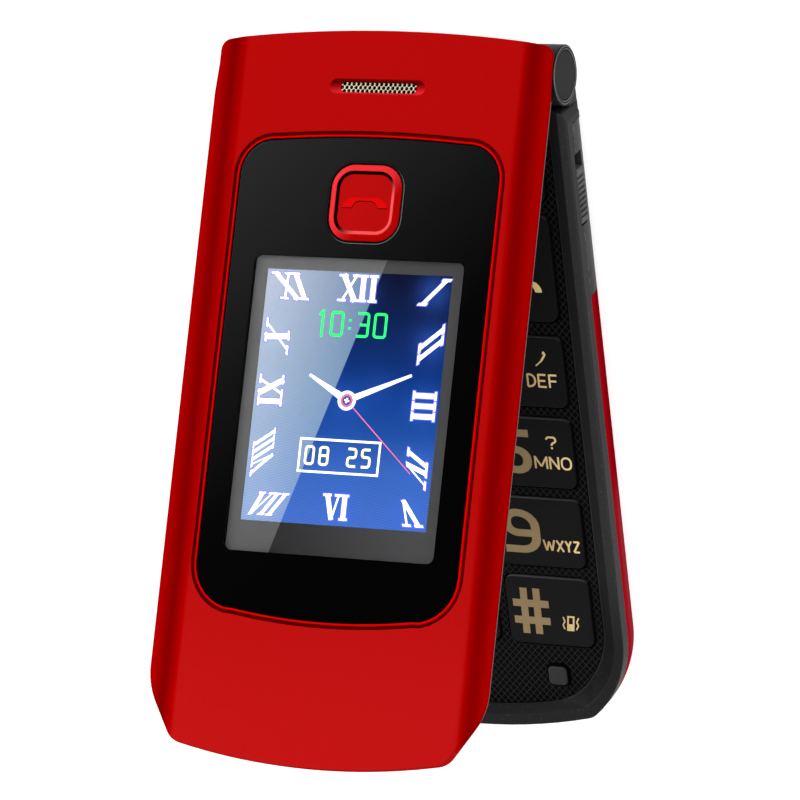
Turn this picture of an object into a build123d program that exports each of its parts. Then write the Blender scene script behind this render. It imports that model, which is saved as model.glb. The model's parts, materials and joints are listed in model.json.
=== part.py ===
"""Flip phone: a keypad half and a lid half with a colour window, joined by a friction hinge.

Both halves are drawn in the same way: x across, v the distance from the hinge axis towards the
free end, and a height over the plane that holds the hinge axis. BASE lies level, and LID is the
same frame turned open about the hinge. All sizes are in millimetres.
"""
from build123d import *
import os
from math import cos, hypot, radians, sin, sqrt

# ---------------------------------------------------------------- overall sizes
WIDTH = 57.8              # across both halves
BASE_TIP = 112.9          # hinge axis to the free end of the base
LID_TIP = 110.3           # hinge axis to the free end of the lid
LID_BACK = 5.0            # how far the lid reaches behind the hinge axis
REST_ANGLE = 30.4         # the lid stands open by this angle, in degrees
AXIS_HEIGHT = 10.3        # hinge axis over the flat back
AXIS_Y = 54.0             # hinge axis from the middle of the back
HALF = WIDTH / 2

# ---------------------------------------------------------------- clearances
GAP = 0.1                 # between pieces that are screwed or set into each other
FIT = 0.05                # running fit of the hinge pieces, radial
KEY_GAP = 0.15            # around a key in its opening

# ---------------------------------------------------------------- hinge
BARREL_R = 4.75
SWEEP_R = BARREL_R + 0.3  # nothing of the other half comes nearer to the axis
KNUCKLE_IN = 19.7         # inner face of the two base knuckles
KNUCKLE_OUT = HALF - 0.6  # their outer face
LID_BARREL = KNUCKLE_IN - 0.3
CAP_R, CAP_THICK = 3.7, 1.0
RIM_R, RIM_THICK, RIM_WIDTH = BARREL_R - 0.2, 0.2, 0.65   # raised rim of the caps
SHAFT_R, SHAFT_IN = 1.5, 8.0
MODULE_R, MODULE_IN, MODULE_WALL = 2.8, 2.5, 0.5
CAM_R, CAM_THICK = 2.2, 2.2
BUSH_R, BUSH_WALL, BUSH_IN = 2.5, 0.5, 14.3
COIL_R, COIL_TURNS, WIRE_R = 1.85, 5, 0.22
FLEX_WIDTH, FLEX_THICK, FLEX_ROLL_R, FLEX_X, FLEX_END = 9.0, 0.25, 2.3, -8.0, 11.0

# ---------------------------------------------------------------- base, heights over the axis
BASE_START = 5.2          # hinge end of the base
LAND_TOP = 2.7
LAND_WIDTH = 1.45
PARTING = 0.25            # where the front and rear housings meet
PANEL_TOP = -0.4
PANEL_THICK = 1.0
PANEL_MARGIN = 4.5        # side of the base to the keypad panel
PANEL_START = 8.0
PANEL_END = 2.6           # keypad panel to the free end
SILL = 1.6                # depth of the sill between the panel and the hinge
RIDGE_END = 2.1           # inner edge of the land to the free end
BACK = -AXIS_HEIGHT
FRONT_BOTTOM = -2.8       # lower edge of the front housing's inner wall
BOARD_THICK = 0.9
TRAY_TOP = FRONT_BOTTOM - BOARD_THICK - 0.4
TRAY_THICK = 0.8
COVER_THICK = 1.05        # battery cover
COVER_START = 36.5        # hinge-side edge of the battery cover
TRAY_BACK = BACK + COVER_THICK + 0.05
SIDE_WALL = 2.1           # battery cover and rear housing beside the front housing's inner wall
BOARD_GAP = 0.2
FLANK_DEPTH = PARTING - BACK
FLANK_IN, FLANK_TIP, FLANK_HINGE = 8.7, 6.5, 4.0   # how far the rounded back pulls in
BASE_CUT = (9.2, 6.7, 2.95)    # the slanted corner: its start, its width, its end
RIDGE_CUT = (7.75, 5.8, 2.95)
PANEL_CUT = (10.5, 5.8, 2.4)
LID_CUT = (10.8, 5.5, 2.5)
BASE_ROUND, FOOT_ROUND = 18.5, 3.0   # radii of the two ends of the slanted corner
ROUND_LOSS = 1.9          # how much faster than the wall the larger radius shrinks inward
RIDGE_ROUND = (14.5, 2.5)
PANEL_ROUND = (14.0, 11.0)
WELL_ROUND = (4.0, 6.0)
HEAD_ROUND = 2.0          # corners of the base beside the hinge

# ---------------------------------------------------------------- keypad
KEY_TOP = 0.1
KEY_FLANGE, FLANGE_THICK = 0.4, 0.35
KEY_CORNER = 1.7
MIDDLE_KEY = 11.8
COLUMN_GAP = 2.05
KEY_MARGIN = 6.2          # side of the base to the outer keys
ROW_START, ROW_PITCH, KEY_HEIGHT = 44.1, 14.1, 12.0
MENU_WIDTH = 10.1
SOFT_START, SOFT_HEIGHT = 11.0, 10.4
CALL_START, CALL_HEIGHT = 23.5, 17.9
NAV_WIDTH, NAV_HEIGHT, NAV_V = 21.2, 26.4, 26.2
SELECT_SIZE = 9.4
MAT_TOP, MAT_THICK = -2.15, 0.5
DOME_THICK = MAT_TOP - MAT_THICK - FRONT_BOTTOM
PAD_X, PAD_END, PAD_SIZE, PAD_TOP = 15.6, 8.9, 3.7, 0.33

# ---------------------------------------------------------------- things in the base
BATTERY = (37.2, 49.8, 4.2)
BATTERY_START = 52.2
SIM = (26.0, 10.0, 1.5)
SIM_START = 38.2
CONTACTS = (12.0, 2.6)
SCREW_INSET, SCREW_ROWS = 4.25, (46.0, 92.0)
SCREW_HEAD_R, SCREW_HEAD, SCREW_R = 1.5, 0.8, 0.75
BAY_MARGIN, BAY_START, BAY_END = 7.9, 8.5, 35.0
BAY_FLOOR = BACK + 1.2
CAMERA_AT, CAMERA_SIZE, WINDOW_R = (-11.0, 17.5), 8.6, 3.6
TORCH_AT, TORCH_R = (-11.0, 29.5), 2.0
SPEAKER_AT, SPEAKER = (8.5, 18.8), (19.0, 13.0, 3.0)
MOTOR_AT, MOTOR_R, MOTOR_THICK = (10.0, 30.6), 3.6, 2.7
MIC_END, MIC_R, MIC_HEIGHT = 8.4, 2.0, 1.2
ANTENNA = (27.0, 3.0, 1.8)
ANTENNA_END = 7.8
USB_V, USB, USB_INSET = 22.0, (5.6, 7.6, 2.6), 2.1
SLOT_V, SLOT_DEPTH = (12.8, 24.6), 1.6
SLOT_Z = (-2.2, 0.9)
KNOB_LENGTH, KNOB_PROUD, RIB_COUNT, RIB_MARGIN = 8.9, 0.1, 8, 0.8

# ---------------------------------------------------------------- lid, heights over the axis
COVER_BOTTOM = BARREL_R + 0.7
LID_BRIM = COVER_BOTTOM + 0.55     # the cover is thin at its sides
LID_OUTER = COVER_BOTTOM + 1.6
SHOULDER = 4.7            # width of the hollowed band along each side
GLASS_TOP, GLASS_THICK = LID_OUTER - 0.2, 0.8
GLASS_MARGIN = 6.7        # side of the lid to the outer glass
GLASS_START, GLASS_END = 12.05, 22.7
GLASS_CROWN, GLASS_SAG = 1.25, 2.4
GLASS_CORNER, GLASS_FOOT = 5.5, 7.0
BEAD, GROOVE, GROOVE_DEEP = 0.5, 0.55, 0.3
OUTER_LCD = (36.0, 46.6, 1.8)
OUTER_LCD_V = 54.3
LID_BOARD = (41.0, 84.0, 0.7)
LID_BOARD_START = 11.5
INNER_LCD = (42.0, 60.0, 1.8)
INNER_LCD_V = 52.0
INNER_GLASS = (43.6, 77.0, 0.8)
INNER_GLASS_V = 53.0
INNER_FACE = 0.45
INNER_FLOOR = 1.95
FLANK_TOP = COVER_BOTTOM - 0.5
UNDERCUT, UNDERCUT_TIP = 4.45, 2.2
LID_CAVITY_MARGIN = 4.5
LID_CAVITY_START, LID_CAVITY_END = 8.4, 4.6
BUTTON_V, BUTTON_SIZE, BUTTON_CORNER, BUTTON_RIM = 22.3, 12.0, 3.75, 1.35
BUTTON_TOP, BUTTON_BOTTOM, RING_WIDTH = LID_OUTER + 0.25, COVER_BOTTOM - 0.85, 0.35
MESH_V, MESH, RECESS = 4.0, (13.4, 1.75, 0.3), (16.4, 2.7)
MESH_TOP, MESH_PITCH, MESH_ROW, MESH_HOLE_R = LID_OUTER - 0.6, 0.79, 0.56, 0.27
RINGER = (13.0, 3.8, 1.7)
RECEIVER, RECEIVER_END = (12.0, 7.0, 2.4), 8.6
MAGNET_AT, MAGNET = (-17.2, 12.4), (4.0, 4.0, 1.5)
LID_SCREW_INSET, LID_SCREW_START, LID_SCREW_END = 6.6, 10.4, 17.5
LID_SCREW_R, LID_HEAD_R, LID_HEAD = 0.65, 1.2, 0.7
BOSS_R, BOSS_BOTTOM = 1.5, 2.1

# ---------------------------------------------------------------- frames
AXIS_POINT = (0, AXIS_Y, AXIS_HEIGHT)
OPEN = radians(REST_ANGLE)
BASE = Plane(origin=AXIS_POINT, x_dir=(1, 0, 0), z_dir=(0, 0, 1))
LID = Plane(origin=AXIS_POINT, x_dir=(1, 0, 0), z_dir=(0, sin(OPEN), cos(OPEN)))
LID_CROSS = Plane(origin=AXIS_POINT, x_dir=(1, 0, 0), z_dir=-LID.y_dir)
HINGE = Plane(origin=AXIS_POINT, x_dir=(0, 1, 0), z_dir=(1, 0, 0))

os.makedirs("parts", exist_ok=True)


# ---------------------------------------------------------------- drawing helpers
def save(builder, name):
    """Label the finished piece and write it to its own file."""
    builder.part.label = name
    export_step(builder.part, f"parts/{name}.step")


def block(frame, x, v, height, corner=0.0, mode=Mode.ADD):
    """A block between pairs of bounds across, along and over the frame, with round corners."""
    with BuildSketch(frame.offset(height[0])) as plan:
        with Locations(((x[0] + x[1]) / 2, -(v[0] + v[1]) / 2)):
            if corner > 0:
                RectangleRounded(x[1] - x[0], v[1] - v[0], corner)
            else:
                Rectangle(x[1] - x[0], v[1] - v[0])
    extrude(plan.sketch, amount=height[1] - height[0], mode=mode)


def disc(frame, x, v, radius, height, mode=Mode.ADD):
    """A round post standing on the frame."""
    with BuildSketch(frame.offset(height[0])) as plan:
        with Locations((x, -v)):
            Circle(radius)
    extrude(plan.sketch, amount=height[1] - height[0], mode=mode)


def roller(x, radius, mode=Mode.ADD):
    """A cylinder about the hinge axis."""
    with BuildSketch(HINGE.offset(x[0])) as plan:
        Circle(radius)
    extrude(plan.sketch, amount=x[1] - x[0], mode=mode)


def round_at(sketch, x, v, radius):
    """Round the two mirrored vertices of a sketch that lie at x and v."""
    near = [p for p in sketch.vertices() if abs(abs(p.X) - x) < 0.01 and abs(p.Y + v) < 0.01]
    fillet(near, radius)


def outline(plane, half, start, tip, cut, radii, crown=0.0):
    """The outline of a half: straight sides, slanted corners and a bowed free end."""
    run, width, end = cut
    side = (half, -(tip - run))
    foot = (half - width, -(tip - end))
    head = (half, -(start + crown))
    with BuildSketch(plane) as plan:
        with BuildLine():
            Polyline(head, side, foot)
            ThreePointArc(foot, (0, -tip), (-foot[0], foot[1]))
            Polyline((-foot[0], foot[1]), (-side[0], side[1]), (-head[0], head[1]))
            if crown > 0:
                ThreePointArc((-head[0], head[1]), (0, -start), head)
            else:
                Line((-head[0], head[1]), head)
        make_face()
        round_at(plan, side[0], -side[1], radii[0])
        round_at(plan, foot[0], -foot[1], radii[1])
        if crown > 0:
            round_at(plan, head[0], -head[1], crown)
    return plan.sketch


def pulled(cut, inset):
    """The slanted corner of an outline that is pulled in by the same amount all round."""
    run, width, end = cut
    slant = hypot(run - end, width)
    run_share = 1 - (slant - (run - end)) / width
    width_share = 1 - (slant - width) / (run - end)
    return run - inset * run_share, width - inset * width_share, end


def base_radii(inset):
    """The two radii of the slanted corner where the outline is pulled in."""
    return BASE_ROUND - ROUND_LOSS * inset, FOOT_ROUND


def base_prism(inset, start, tip_inset, height, cut=None, radii=None, mode=Mode.ADD):
    """The base outline, pulled in at the sides and at the free end, as a straight prism."""
    cut = cut or pulled(BASE_CUT, inset)
    radii = radii or base_radii(inset)
    plan = outline(BASE.offset(height[0]), HALF - inset, start, BASE_TIP - tip_inset, cut, radii)
    extrude(plan, amount=height[1] - height[0], mode=mode)


def rounded_body(wall, bottom, mode=Mode.ADD):
    """The rounded back of the base, from the parting line down, thinner all round by wall."""
    sections = []
    for share in (0.0, 0.35, 0.6, 0.8, 0.92, 1.0):
        depth = share * (PARTING - bottom)
        pull = 1 - sqrt(max(0.0, 1 - (depth / FLANK_DEPTH) ** 2))
        half = HALF - wall - FLANK_IN * pull
        start = BASE_START + wall + FLANK_HINGE * pull
        inset = wall + FLANK_TIP * pull
        plane = BASE.offset(PARTING - depth)
        sections.append(outline(plane, half, start, BASE_TIP - inset, pulled(BASE_CUT, inset),
                                base_radii(inset)))
    loft(sections, mode=mode)


def round_heads(mode=Mode.SUBTRACT):
    """Round the two upright corners of the base beside the hinge."""
    middle = (HALF - HEAD_ROUND, -BASE_START - HEAD_ROUND)
    with BuildSketch(BASE.offset(BACK - 1)) as scraps:
        for side in (-1, 1):
            with Locations((side * (HALF - HEAD_ROUND / 2), -BASE_START - HEAD_ROUND / 2)):
                Rectangle(HEAD_ROUND, HEAD_ROUND)
            with Locations((side * middle[0], middle[1])):
                Circle(HEAD_ROUND, mode=Mode.SUBTRACT)
    extrude(scraps.sketch, amount=LAND_TOP - BACK + 2, mode=mode)


def glass_shape(plane, grow=0.0):
    """The outline of the outer glass, grown all round."""
    half = HALF - GLASS_MARGIN
    head = GLASS_START + GLASS_CROWN
    foot = LID_TIP - GLASS_END - GLASS_SAG
    with BuildSketch(plane) as plan:
        with BuildLine():
            ThreePointArc((-half, -head), (0, -GLASS_START), (half, -head))
            Line((half, -head), (half, -foot))
            ThreePointArc((half, -foot), (0, -(LID_TIP - GLASS_END)), (-half, -foot))
            Line((-half, -foot), (-half, -head))
        make_face()
        round_at(plan, half, head, GLASS_CORNER)
        round_at(plan, half, foot, GLASS_FOOT)
        if grow > 0:
            offset(amount=grow, kind=Kind.ARC, mode=Mode.REPLACE)
    return plan.sketch


def centred(size, v, x=0.0):
    """Bounds across and along of a rectangle of that size about x and v."""
    return (x - size[0] / 2, x + size[0] / 2), (v - size[1] / 2, v + size[1] / 2)


# ---------------------------------------------------------------- keys
SIDE_KEY = HALF - KEY_MARGIN - MIDDLE_KEY / 2 - COLUMN_GAP
SIDE_X = HALF - KEY_MARGIN - SIDE_KEY / 2
MENU_X = HALF - KEY_MARGIN - MENU_WIDTH / 2
NUMBER_NAMES = (("1", "2", "3"), ("4", "5", "6"), ("7", "8", "9"), ("star", "0", "hash"))
KEYS = {}
for row, names in enumerate(NUMBER_NAMES):
    middle = ROW_START + row * ROW_PITCH + KEY_HEIGHT / 2
    for name, x, width in zip(names, (-SIDE_X, 0.0, SIDE_X), (SIDE_KEY, MIDDLE_KEY, SIDE_KEY)):
        KEYS["key_" + name] = (x, middle, width, KEY_HEIGHT)
for side, x in (("left", -MENU_X), ("right", MENU_X)):
    KEYS["soft_key_" + side] = (x, SOFT_START + SOFT_HEIGHT / 2, MENU_WIDTH, SOFT_HEIGHT)
KEYS["call_key"] = (-MENU_X, CALL_START + CALL_HEIGHT / 2, MENU_WIDTH, CALL_HEIGHT)
KEYS["end_key"] = (MENU_X, CALL_START + CALL_HEIGHT / 2, MENU_WIDTH, CALL_HEIGHT)


def key_cap(name, x, v, width, height, corner=KEY_CORNER, hole=0.0):
    """A key: a cap through the panel and a wider flange that keeps it in."""
    flange_top = PANEL_TOP - PANEL_THICK - 0.05
    with BuildPart() as key:
        block(BASE, *centred((width, height), v, x), (flange_top, KEY_TOP), corner)
        fillet(key.faces().sort_by(Axis.Z)[-1].edges(), 0.25)
        wide = (width + 2 * KEY_FLANGE, height + 2 * KEY_FLANGE)
        block(BASE, *centred(wide, v, x), (flange_top - FLANGE_THICK, flange_top), corner)
        if hole > 0:
            block(BASE, *centred((hole, hole), v, x), (flange_top - 1, KEY_TOP + 1), 2.9,
                  mode=Mode.SUBTRACT)
    save(key, name)


for name, (x, v, width, height) in KEYS.items():
    key_cap(name, x, v, width, height)
SELECT_HOLE = SELECT_SIZE + 2 * KEY_FLANGE + 2 * KEY_GAP
key_cap("nav_ring", 0.0, NAV_V, NAV_WIDTH, NAV_HEIGHT, 6.0, SELECT_HOLE)
key_cap("select_key", 0.0, NAV_V, SELECT_SIZE, SELECT_SIZE, 2.6)


# ---------------------------------------------------------------- keypad panel, mat and domes
PAD_V = BASE_TIP - PAD_END
MIC_V = BASE_TIP - MIC_END
with BuildPart() as keypad_panel:
    panel_height = (PANEL_TOP - PANEL_THICK, PANEL_TOP)
    base_prism(PANEL_MARGIN, PANEL_START, PANEL_END, panel_height, PANEL_CUT, PANEL_ROUND)
    for x, v, width, height in KEYS.values():
        block(BASE, *centred((width + 2 * KEY_GAP, height + 2 * KEY_GAP), v, x), panel_height,
              KEY_CORNER, mode=Mode.SUBTRACT)
    block(BASE, *centred((NAV_WIDTH + 2 * KEY_GAP, NAV_HEIGHT + 2 * KEY_GAP), NAV_V), panel_height,
          6.0, mode=Mode.SUBTRACT)
    for x in (-PAD_X, PAD_X):
        block(BASE, *centred((PAD_SIZE + GAP, PAD_SIZE + GAP), PAD_V, x), panel_height, 1.1,
              mode=Mode.SUBTRACT)
    disc(BASE, 0, MIC_V, 0.5, panel_height, mode=Mode.SUBTRACT)
save(keypad_panel, "keypad_panel")

MAT_HALF = HALF - PANEL_MARGIN - 1.5
MAT_START, MAT_END = 9.2, ROW_START + 3 * ROW_PITCH + KEY_HEIGHT + KEY_FLANGE
with BuildPart() as keypad_mat:
    block(BASE, (-MAT_HALF, MAT_HALF), (MAT_START, MAT_END), (MAT_TOP - MAT_THICK, MAT_TOP), 3.0)
save(keypad_mat, "keypad_mat")

with BuildPart() as dome_sheet:
    block(BASE, (-MAT_HALF, MAT_HALF), (MAT_START, MAT_END),
          (FRONT_BOTTOM, FRONT_BOTTOM + DOME_THICK), 3.0)
save(dome_sheet, "dome_sheet")

with BuildPart() as rest_pads:
    for x in (-PAD_X, PAD_X):
        block(BASE, *centred((PAD_SIZE, PAD_SIZE), PAD_V, x), (PANEL_TOP - PANEL_THICK, PAD_TOP), 1.0)
save(rest_pads, "rest_pads")


# ---------------------------------------------------------------- front housing of the base
WALL_OUT = HALF - SIDE_WALL - GAP       # outer face of the front housing's inner wall
SCREW_X = HALF - SCREW_INSET
with BuildPart() as front_housing:
    base_prism(0.0, BASE_START, 0.0, (PARTING, LAND_TOP))
    fillet(front_housing.faces().sort_by(Axis.Z)[-1].edges(), 0.35)
    base_prism(HALF - WALL_OUT, BASE_START + SIDE_WALL, HALF - WALL_OUT, (FRONT_BOTTOM, PARTING))
    block(BASE, (-WALL_OUT, WALL_OUT), (BASE_START, BASE_START + SIDE_WALL + 0.5),
          (PANEL_TOP - SILL, PANEL_TOP))
    for side in (-1, 1):
        neck = sorted((side * KNUCKLE_IN, side * KNUCKLE_OUT))
        shoulder = sorted((side * KNUCKLE_IN, side * (HALF - 0.05)))
        roller(neck, BARREL_R)
        block(BASE, neck, (0, BASE_START + 1), (FRONT_BOTTOM - 0.8, PANEL_TOP - 0.05))
        block(BASE, shoulder, (BASE_START, BASE_START + SIDE_WALL + 0.5),
              (FRONT_BOTTOM, PARTING))
    ridge = HALF - LAND_WIDTH
    floor = HALF - PANEL_MARGIN
    above = 0.2 * (ridge - floor) / (LAND_TOP - PANEL_TOP)
    well = [outline(BASE.offset(PANEL_TOP), floor, BARREL_R - 0.6, BASE_TIP - PANEL_END, PANEL_CUT,
                    PANEL_ROUND),
            outline(BASE.offset(LAND_TOP + 0.2), ridge + above, BARREL_R - 0.6,
                    BASE_TIP - RIDGE_END, RIDGE_CUT, RIDGE_ROUND)]
    loft(well, mode=Mode.SUBTRACT)
    base_prism(PANEL_MARGIN - GAP, PANEL_START - GAP, PANEL_END - GAP,
               (PANEL_TOP - PANEL_THICK, PANEL_TOP), PANEL_CUT, PANEL_ROUND, mode=Mode.SUBTRACT)
    base_prism(PANEL_MARGIN + 1.2, BASE_START + SIDE_WALL + 1.2, PANEL_END + 1.6,
               (FRONT_BOTTOM - 1, PANEL_TOP - PANEL_THICK), PANEL_CUT, WELL_ROUND,
               mode=Mode.SUBTRACT)
    roller((-LID_BARREL - 0.15, LID_BARREL + 0.15), SWEEP_R, mode=Mode.SUBTRACT)
    roller((KNUCKLE_IN - 1, KNUCKLE_OUT - CAP_THICK - 0.4), SHAFT_R + FIT, mode=Mode.SUBTRACT)
    roller((-KNUCKLE_OUT + CAP_THICK + 1, -KNUCKLE_IN + 1), BUSH_R + FIT, mode=Mode.SUBTRACT)
    roller((KNUCKLE_OUT - CAP_THICK, KNUCKLE_OUT + 1), CAP_R + FIT, mode=Mode.SUBTRACT)
    roller((-KNUCKLE_OUT - 1, -KNUCKLE_OUT + CAP_THICK), CAP_R + FIT, mode=Mode.SUBTRACT)
    for side in (-1, 1):
        for v in SCREW_ROWS:
            disc(BASE, side * SCREW_X, v, SCREW_R + FIT, (FRONT_BOTTOM - 1, PANEL_TOP - 1.1),
                 mode=Mode.SUBTRACT)
    block(BASE, (HALF - SLOT_DEPTH, HALF + 1), SLOT_V, (PARTING - 0.1, SLOT_Z[1]),
          mode=Mode.SUBTRACT)
    round_heads()
save(front_housing, "front_housing")


# ---------------------------------------------------------------- rear housing
BATTERY_END = BATTERY_START + BATTERY[1]
BATTERY_TOP = TRAY_TOP - TRAY_THICK - 0.05
BOARD_BOTTOM = FRONT_BOTTOM - BOARD_THICK
ANTENNA_V = BASE_TIP - ANTENNA_END
USB_BACK = HALF - USB_INSET - USB[0]
USB_TOP = BOARD_BOTTOM - 0.05
BAY_HALF = HALF - BAY_MARGIN
HEAD_TOP = TRAY_TOP - 0.5
with BuildPart() as rear_housing:
    rounded_body(0.0, BACK)
    block(BASE, (-HALF - 1, HALF + 1), (COVER_START, BASE_TIP + 1), (BACK - 1, PARTING + 1),
          mode=Mode.SUBTRACT)
    rounded_body(COVER_THICK + GAP, TRAY_BACK)
    base_prism(SIDE_WALL, BASE_START + SIDE_WALL - GAP, SIDE_WALL, (FRONT_BOTTOM, PARTING + 1),
               mode=Mode.SUBTRACT)
    block(BASE, (-WALL_OUT - GAP, WALL_OUT + GAP), (BASE_START - 1, BASE_START + SIDE_WALL),
          (PANEL_TOP - SILL - GAP, PARTING + 1), mode=Mode.SUBTRACT)
    base_prism(HALF - WALL_OUT + 1.2, BAY_START - 0.3, 4.2, (TRAY_TOP, FRONT_BOTTOM + 0.1),
               mode=Mode.SUBTRACT)
    block(BASE, (-BAY_HALF, BAY_HALF), (BAY_START, BAY_END), (BAY_FLOOR, TRAY_TOP + 0.1), 3.0,
          mode=Mode.SUBTRACT)
    for side in (-1, 1):
        neck = sorted((side * (KNUCKLE_IN - GAP), side * (HALF + 1)))
        block(BASE, neck, (BASE_START - 1, BASE_START + SIDE_WALL + 0.5 + GAP),
              (FRONT_BOTTOM - GAP, PARTING + 1), mode=Mode.SUBTRACT)
        block(BASE, neck, (BASE_START - 1, BASE_START + 1 + GAP),
              (FRONT_BOTTOM - 0.8 - GAP, PARTING), mode=Mode.SUBTRACT)
        for v in SCREW_ROWS:
            disc(BASE, side * SCREW_X, v, SCREW_HEAD_R + GAP,
                 (BACK - 1, HEAD_TOP), mode=Mode.SUBTRACT)
            disc(BASE, side * SCREW_X, v, SCREW_R + GAP, (BACK - 1, FRONT_BOTTOM + 0.1),
                 mode=Mode.SUBTRACT)
    block(BASE, (-BATTERY[0] / 2 - GAP, BATTERY[0] / 2 + GAP),
          (BATTERY_START - GAP, BATTERY_END + GAP), (BACK - 1, BATTERY_TOP + 0.05),
          mode=Mode.SUBTRACT)
    block(BASE, (-SIM[0] / 2 - GAP, SIM[0] / 2 + GAP), (SIM_START - GAP, SIM_START + SIM[1] + GAP),
          (BACK - 1, TRAY_TOP + 0.1), mode=Mode.SUBTRACT)
    block(BASE, (-CONTACTS[0] / 2 - GAP, CONTACTS[0] / 2 + GAP),
          (BATTERY_START - GAP - CONTACTS[1] - GAP, BATTERY_START),
          (BATTERY_TOP - 2.6, TRAY_TOP + 0.1), mode=Mode.SUBTRACT)
    block(BASE, *centred((ANTENNA[0] + 2 * GAP, ANTENNA[1] + 2 * GAP), ANTENNA_V),
          (BOARD_BOTTOM - ANTENNA[2] - 0.2, TRAY_TOP + 0.1), mode=Mode.SUBTRACT)
    block(BASE, (HALF - SLOT_DEPTH, HALF + 1), SLOT_V, (SLOT_Z[0], PARTING + 1),
          mode=Mode.SUBTRACT)
    block(BASE, (-HALF - 1, -USB_BACK + GAP), (USB_V - USB[1] / 2 - GAP, USB_V + USB[1] / 2 + GAP),
          (USB_TOP - USB[2] - GAP, TRAY_TOP + 0.5), mode=Mode.SUBTRACT)
    disc(BASE, *CAMERA_AT, WINDOW_R + FIT, (BACK - 1, BAY_FLOOR + 1), mode=Mode.SUBTRACT)
    disc(BASE, *TORCH_AT, TORCH_R + FIT, (BACK - 1, BAY_FLOOR + 1), mode=Mode.SUBTRACT)
    with BuildSketch(BASE.offset(BACK - 1)):
        with Locations((SPEAKER_AT[0], -SPEAKER_AT[1])):
            with GridLocations(2.0, 0.0, 6, 1):
                SlotOverall(7.0, 1.0, rotation=90)
    extrude(amount=3, mode=Mode.SUBTRACT)
    round_heads()
save(rear_housing, "rear_housing")

with BuildPart() as battery_cover:
    rounded_body(0.0, BACK)
    rounded_body(COVER_THICK, BACK + COVER_THICK, mode=Mode.SUBTRACT)
    block(BASE, (-HALF - 1, HALF + 1), (0, COVER_START + GAP), (BACK - 1, PARTING + 1),
          mode=Mode.SUBTRACT)
save(battery_cover, "battery_cover")


# ---------------------------------------------------------------- electronics in the base
with BuildPart() as main_board:
    base_prism(HALF - WALL_OUT + 1.2 + BOARD_GAP, BAY_START, 4.2 + BOARD_GAP,
               (BOARD_BOTTOM, FRONT_BOTTOM))
    for side in (-1, 1):
        for v in SCREW_ROWS:
            disc(BASE, side * SCREW_X, v, SCREW_R + 0.4, (BOARD_BOTTOM - 1, FRONT_BOTTOM + 1),
                 mode=Mode.SUBTRACT)
save(main_board, "main_board")

with BuildPart() as battery:
    block(BASE, (-BATTERY[0] / 2, BATTERY[0] / 2), (BATTERY_START, BATTERY_END),
          (BATTERY_TOP - BATTERY[2], BATTERY_TOP))
    fillet(battery.edges().filter_by(Axis.Y), 1.2)
save(battery, "battery")

with BuildPart() as battery_contacts:
    block(BASE, (-CONTACTS[0] / 2, CONTACTS[0] / 2),
          (BATTERY_START - GAP - CONTACTS[1], BATTERY_START - GAP), (BATTERY_TOP - 2.5, BOARD_BOTTOM))
    for x in (-3.6, 0.0, 3.6):
        block(BASE, (x - 0.9, x + 0.9), (BATTERY_START - 0.7, BATTERY_START),
              (BATTERY_TOP - 2.6, BATTERY_TOP - 0.6), mode=Mode.SUBTRACT)
save(battery_contacts, "battery_contacts")

with BuildPart() as sim_holder:
    block(BASE, (-SIM[0] / 2, SIM[0] / 2), (SIM_START, SIM_START + SIM[1]),
          (BOARD_BOTTOM - SIM[2], BOARD_BOTTOM))
    block(BASE, (-SIM[0] / 2 + 1, SIM[0] / 2 - 1), (SIM_START - 1, SIM_START + SIM[1] - 1.5),
          (BOARD_BOTTOM - SIM[2] + 0.3, BOARD_BOTTOM - 0.3), mode=Mode.SUBTRACT)
save(sim_holder, "sim_holder")

with BuildPart() as camera_module:
    block(BASE, *centred((CAMERA_SIZE, CAMERA_SIZE), CAMERA_AT[1], CAMERA_AT[0]),
          (BAY_FLOOR + 1.0, BOARD_BOTTOM), 0.8)
    disc(BASE, *CAMERA_AT, 2.9, (BACK + 0.9, BAY_FLOOR + 1.5))
save(camera_module, "camera_module")

with BuildPart() as camera_window:
    disc(BASE, *CAMERA_AT, WINDOW_R, (BACK + 0.05, BACK + 0.85))
    chamfer(camera_window.edges().group_by(Axis.Z)[0], 0.15)
save(camera_window, "camera_window")

with BuildPart() as torch_lens:
    disc(BASE, *TORCH_AT, TORCH_R, (BACK + 0.05, BOARD_BOTTOM - 1.2))
    disc(BASE, *TORCH_AT, TORCH_R + 0.6, (BAY_FLOOR + 0.05, BAY_FLOOR + 0.9))
save(torch_lens, "torch_lens")

with BuildPart() as torch_led:
    block(BASE, *centred((3.2, 3.2), TORCH_AT[1], TORCH_AT[0]), (BOARD_BOTTOM - 1.1, BOARD_BOTTOM))
save(torch_led, "torch_led")

with BuildPart() as loudspeaker:
    block(BASE, *centred(SPEAKER, SPEAKER_AT[1], SPEAKER_AT[0]),
          (BAY_FLOOR + 0.05, BAY_FLOOR + 0.05 + SPEAKER[2]), 3.0)
    disc(BASE, *SPEAKER_AT, 4.5, (BAY_FLOOR + SPEAKER[2], BAY_FLOOR + SPEAKER[2] + 0.6))
save(loudspeaker, "loudspeaker")

with BuildPart() as vibration_motor:
    disc(BASE, *MOTOR_AT, MOTOR_R, (BOARD_BOTTOM - MOTOR_THICK, BOARD_BOTTOM))
    fillet(vibration_motor.edges().group_by(Axis.Z)[0], 0.3)
save(vibration_motor, "vibration_motor")

with BuildPart() as microphone:
    disc(BASE, 0, MIC_V, MIC_R, (FRONT_BOTTOM, FRONT_BOTTOM + MIC_HEIGHT))
    disc(BASE, 0, MIC_V, 0.4, (FRONT_BOTTOM + MIC_HEIGHT - 0.5, FRONT_BOTTOM + MIC_HEIGHT + 1),
         mode=Mode.SUBTRACT)
save(microphone, "microphone")

with BuildPart() as antenna:
    block(BASE, *centred(ANTENNA, ANTENNA_V), (BOARD_BOTTOM - ANTENNA[2], BOARD_BOTTOM))
save(antenna, "antenna")

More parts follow.
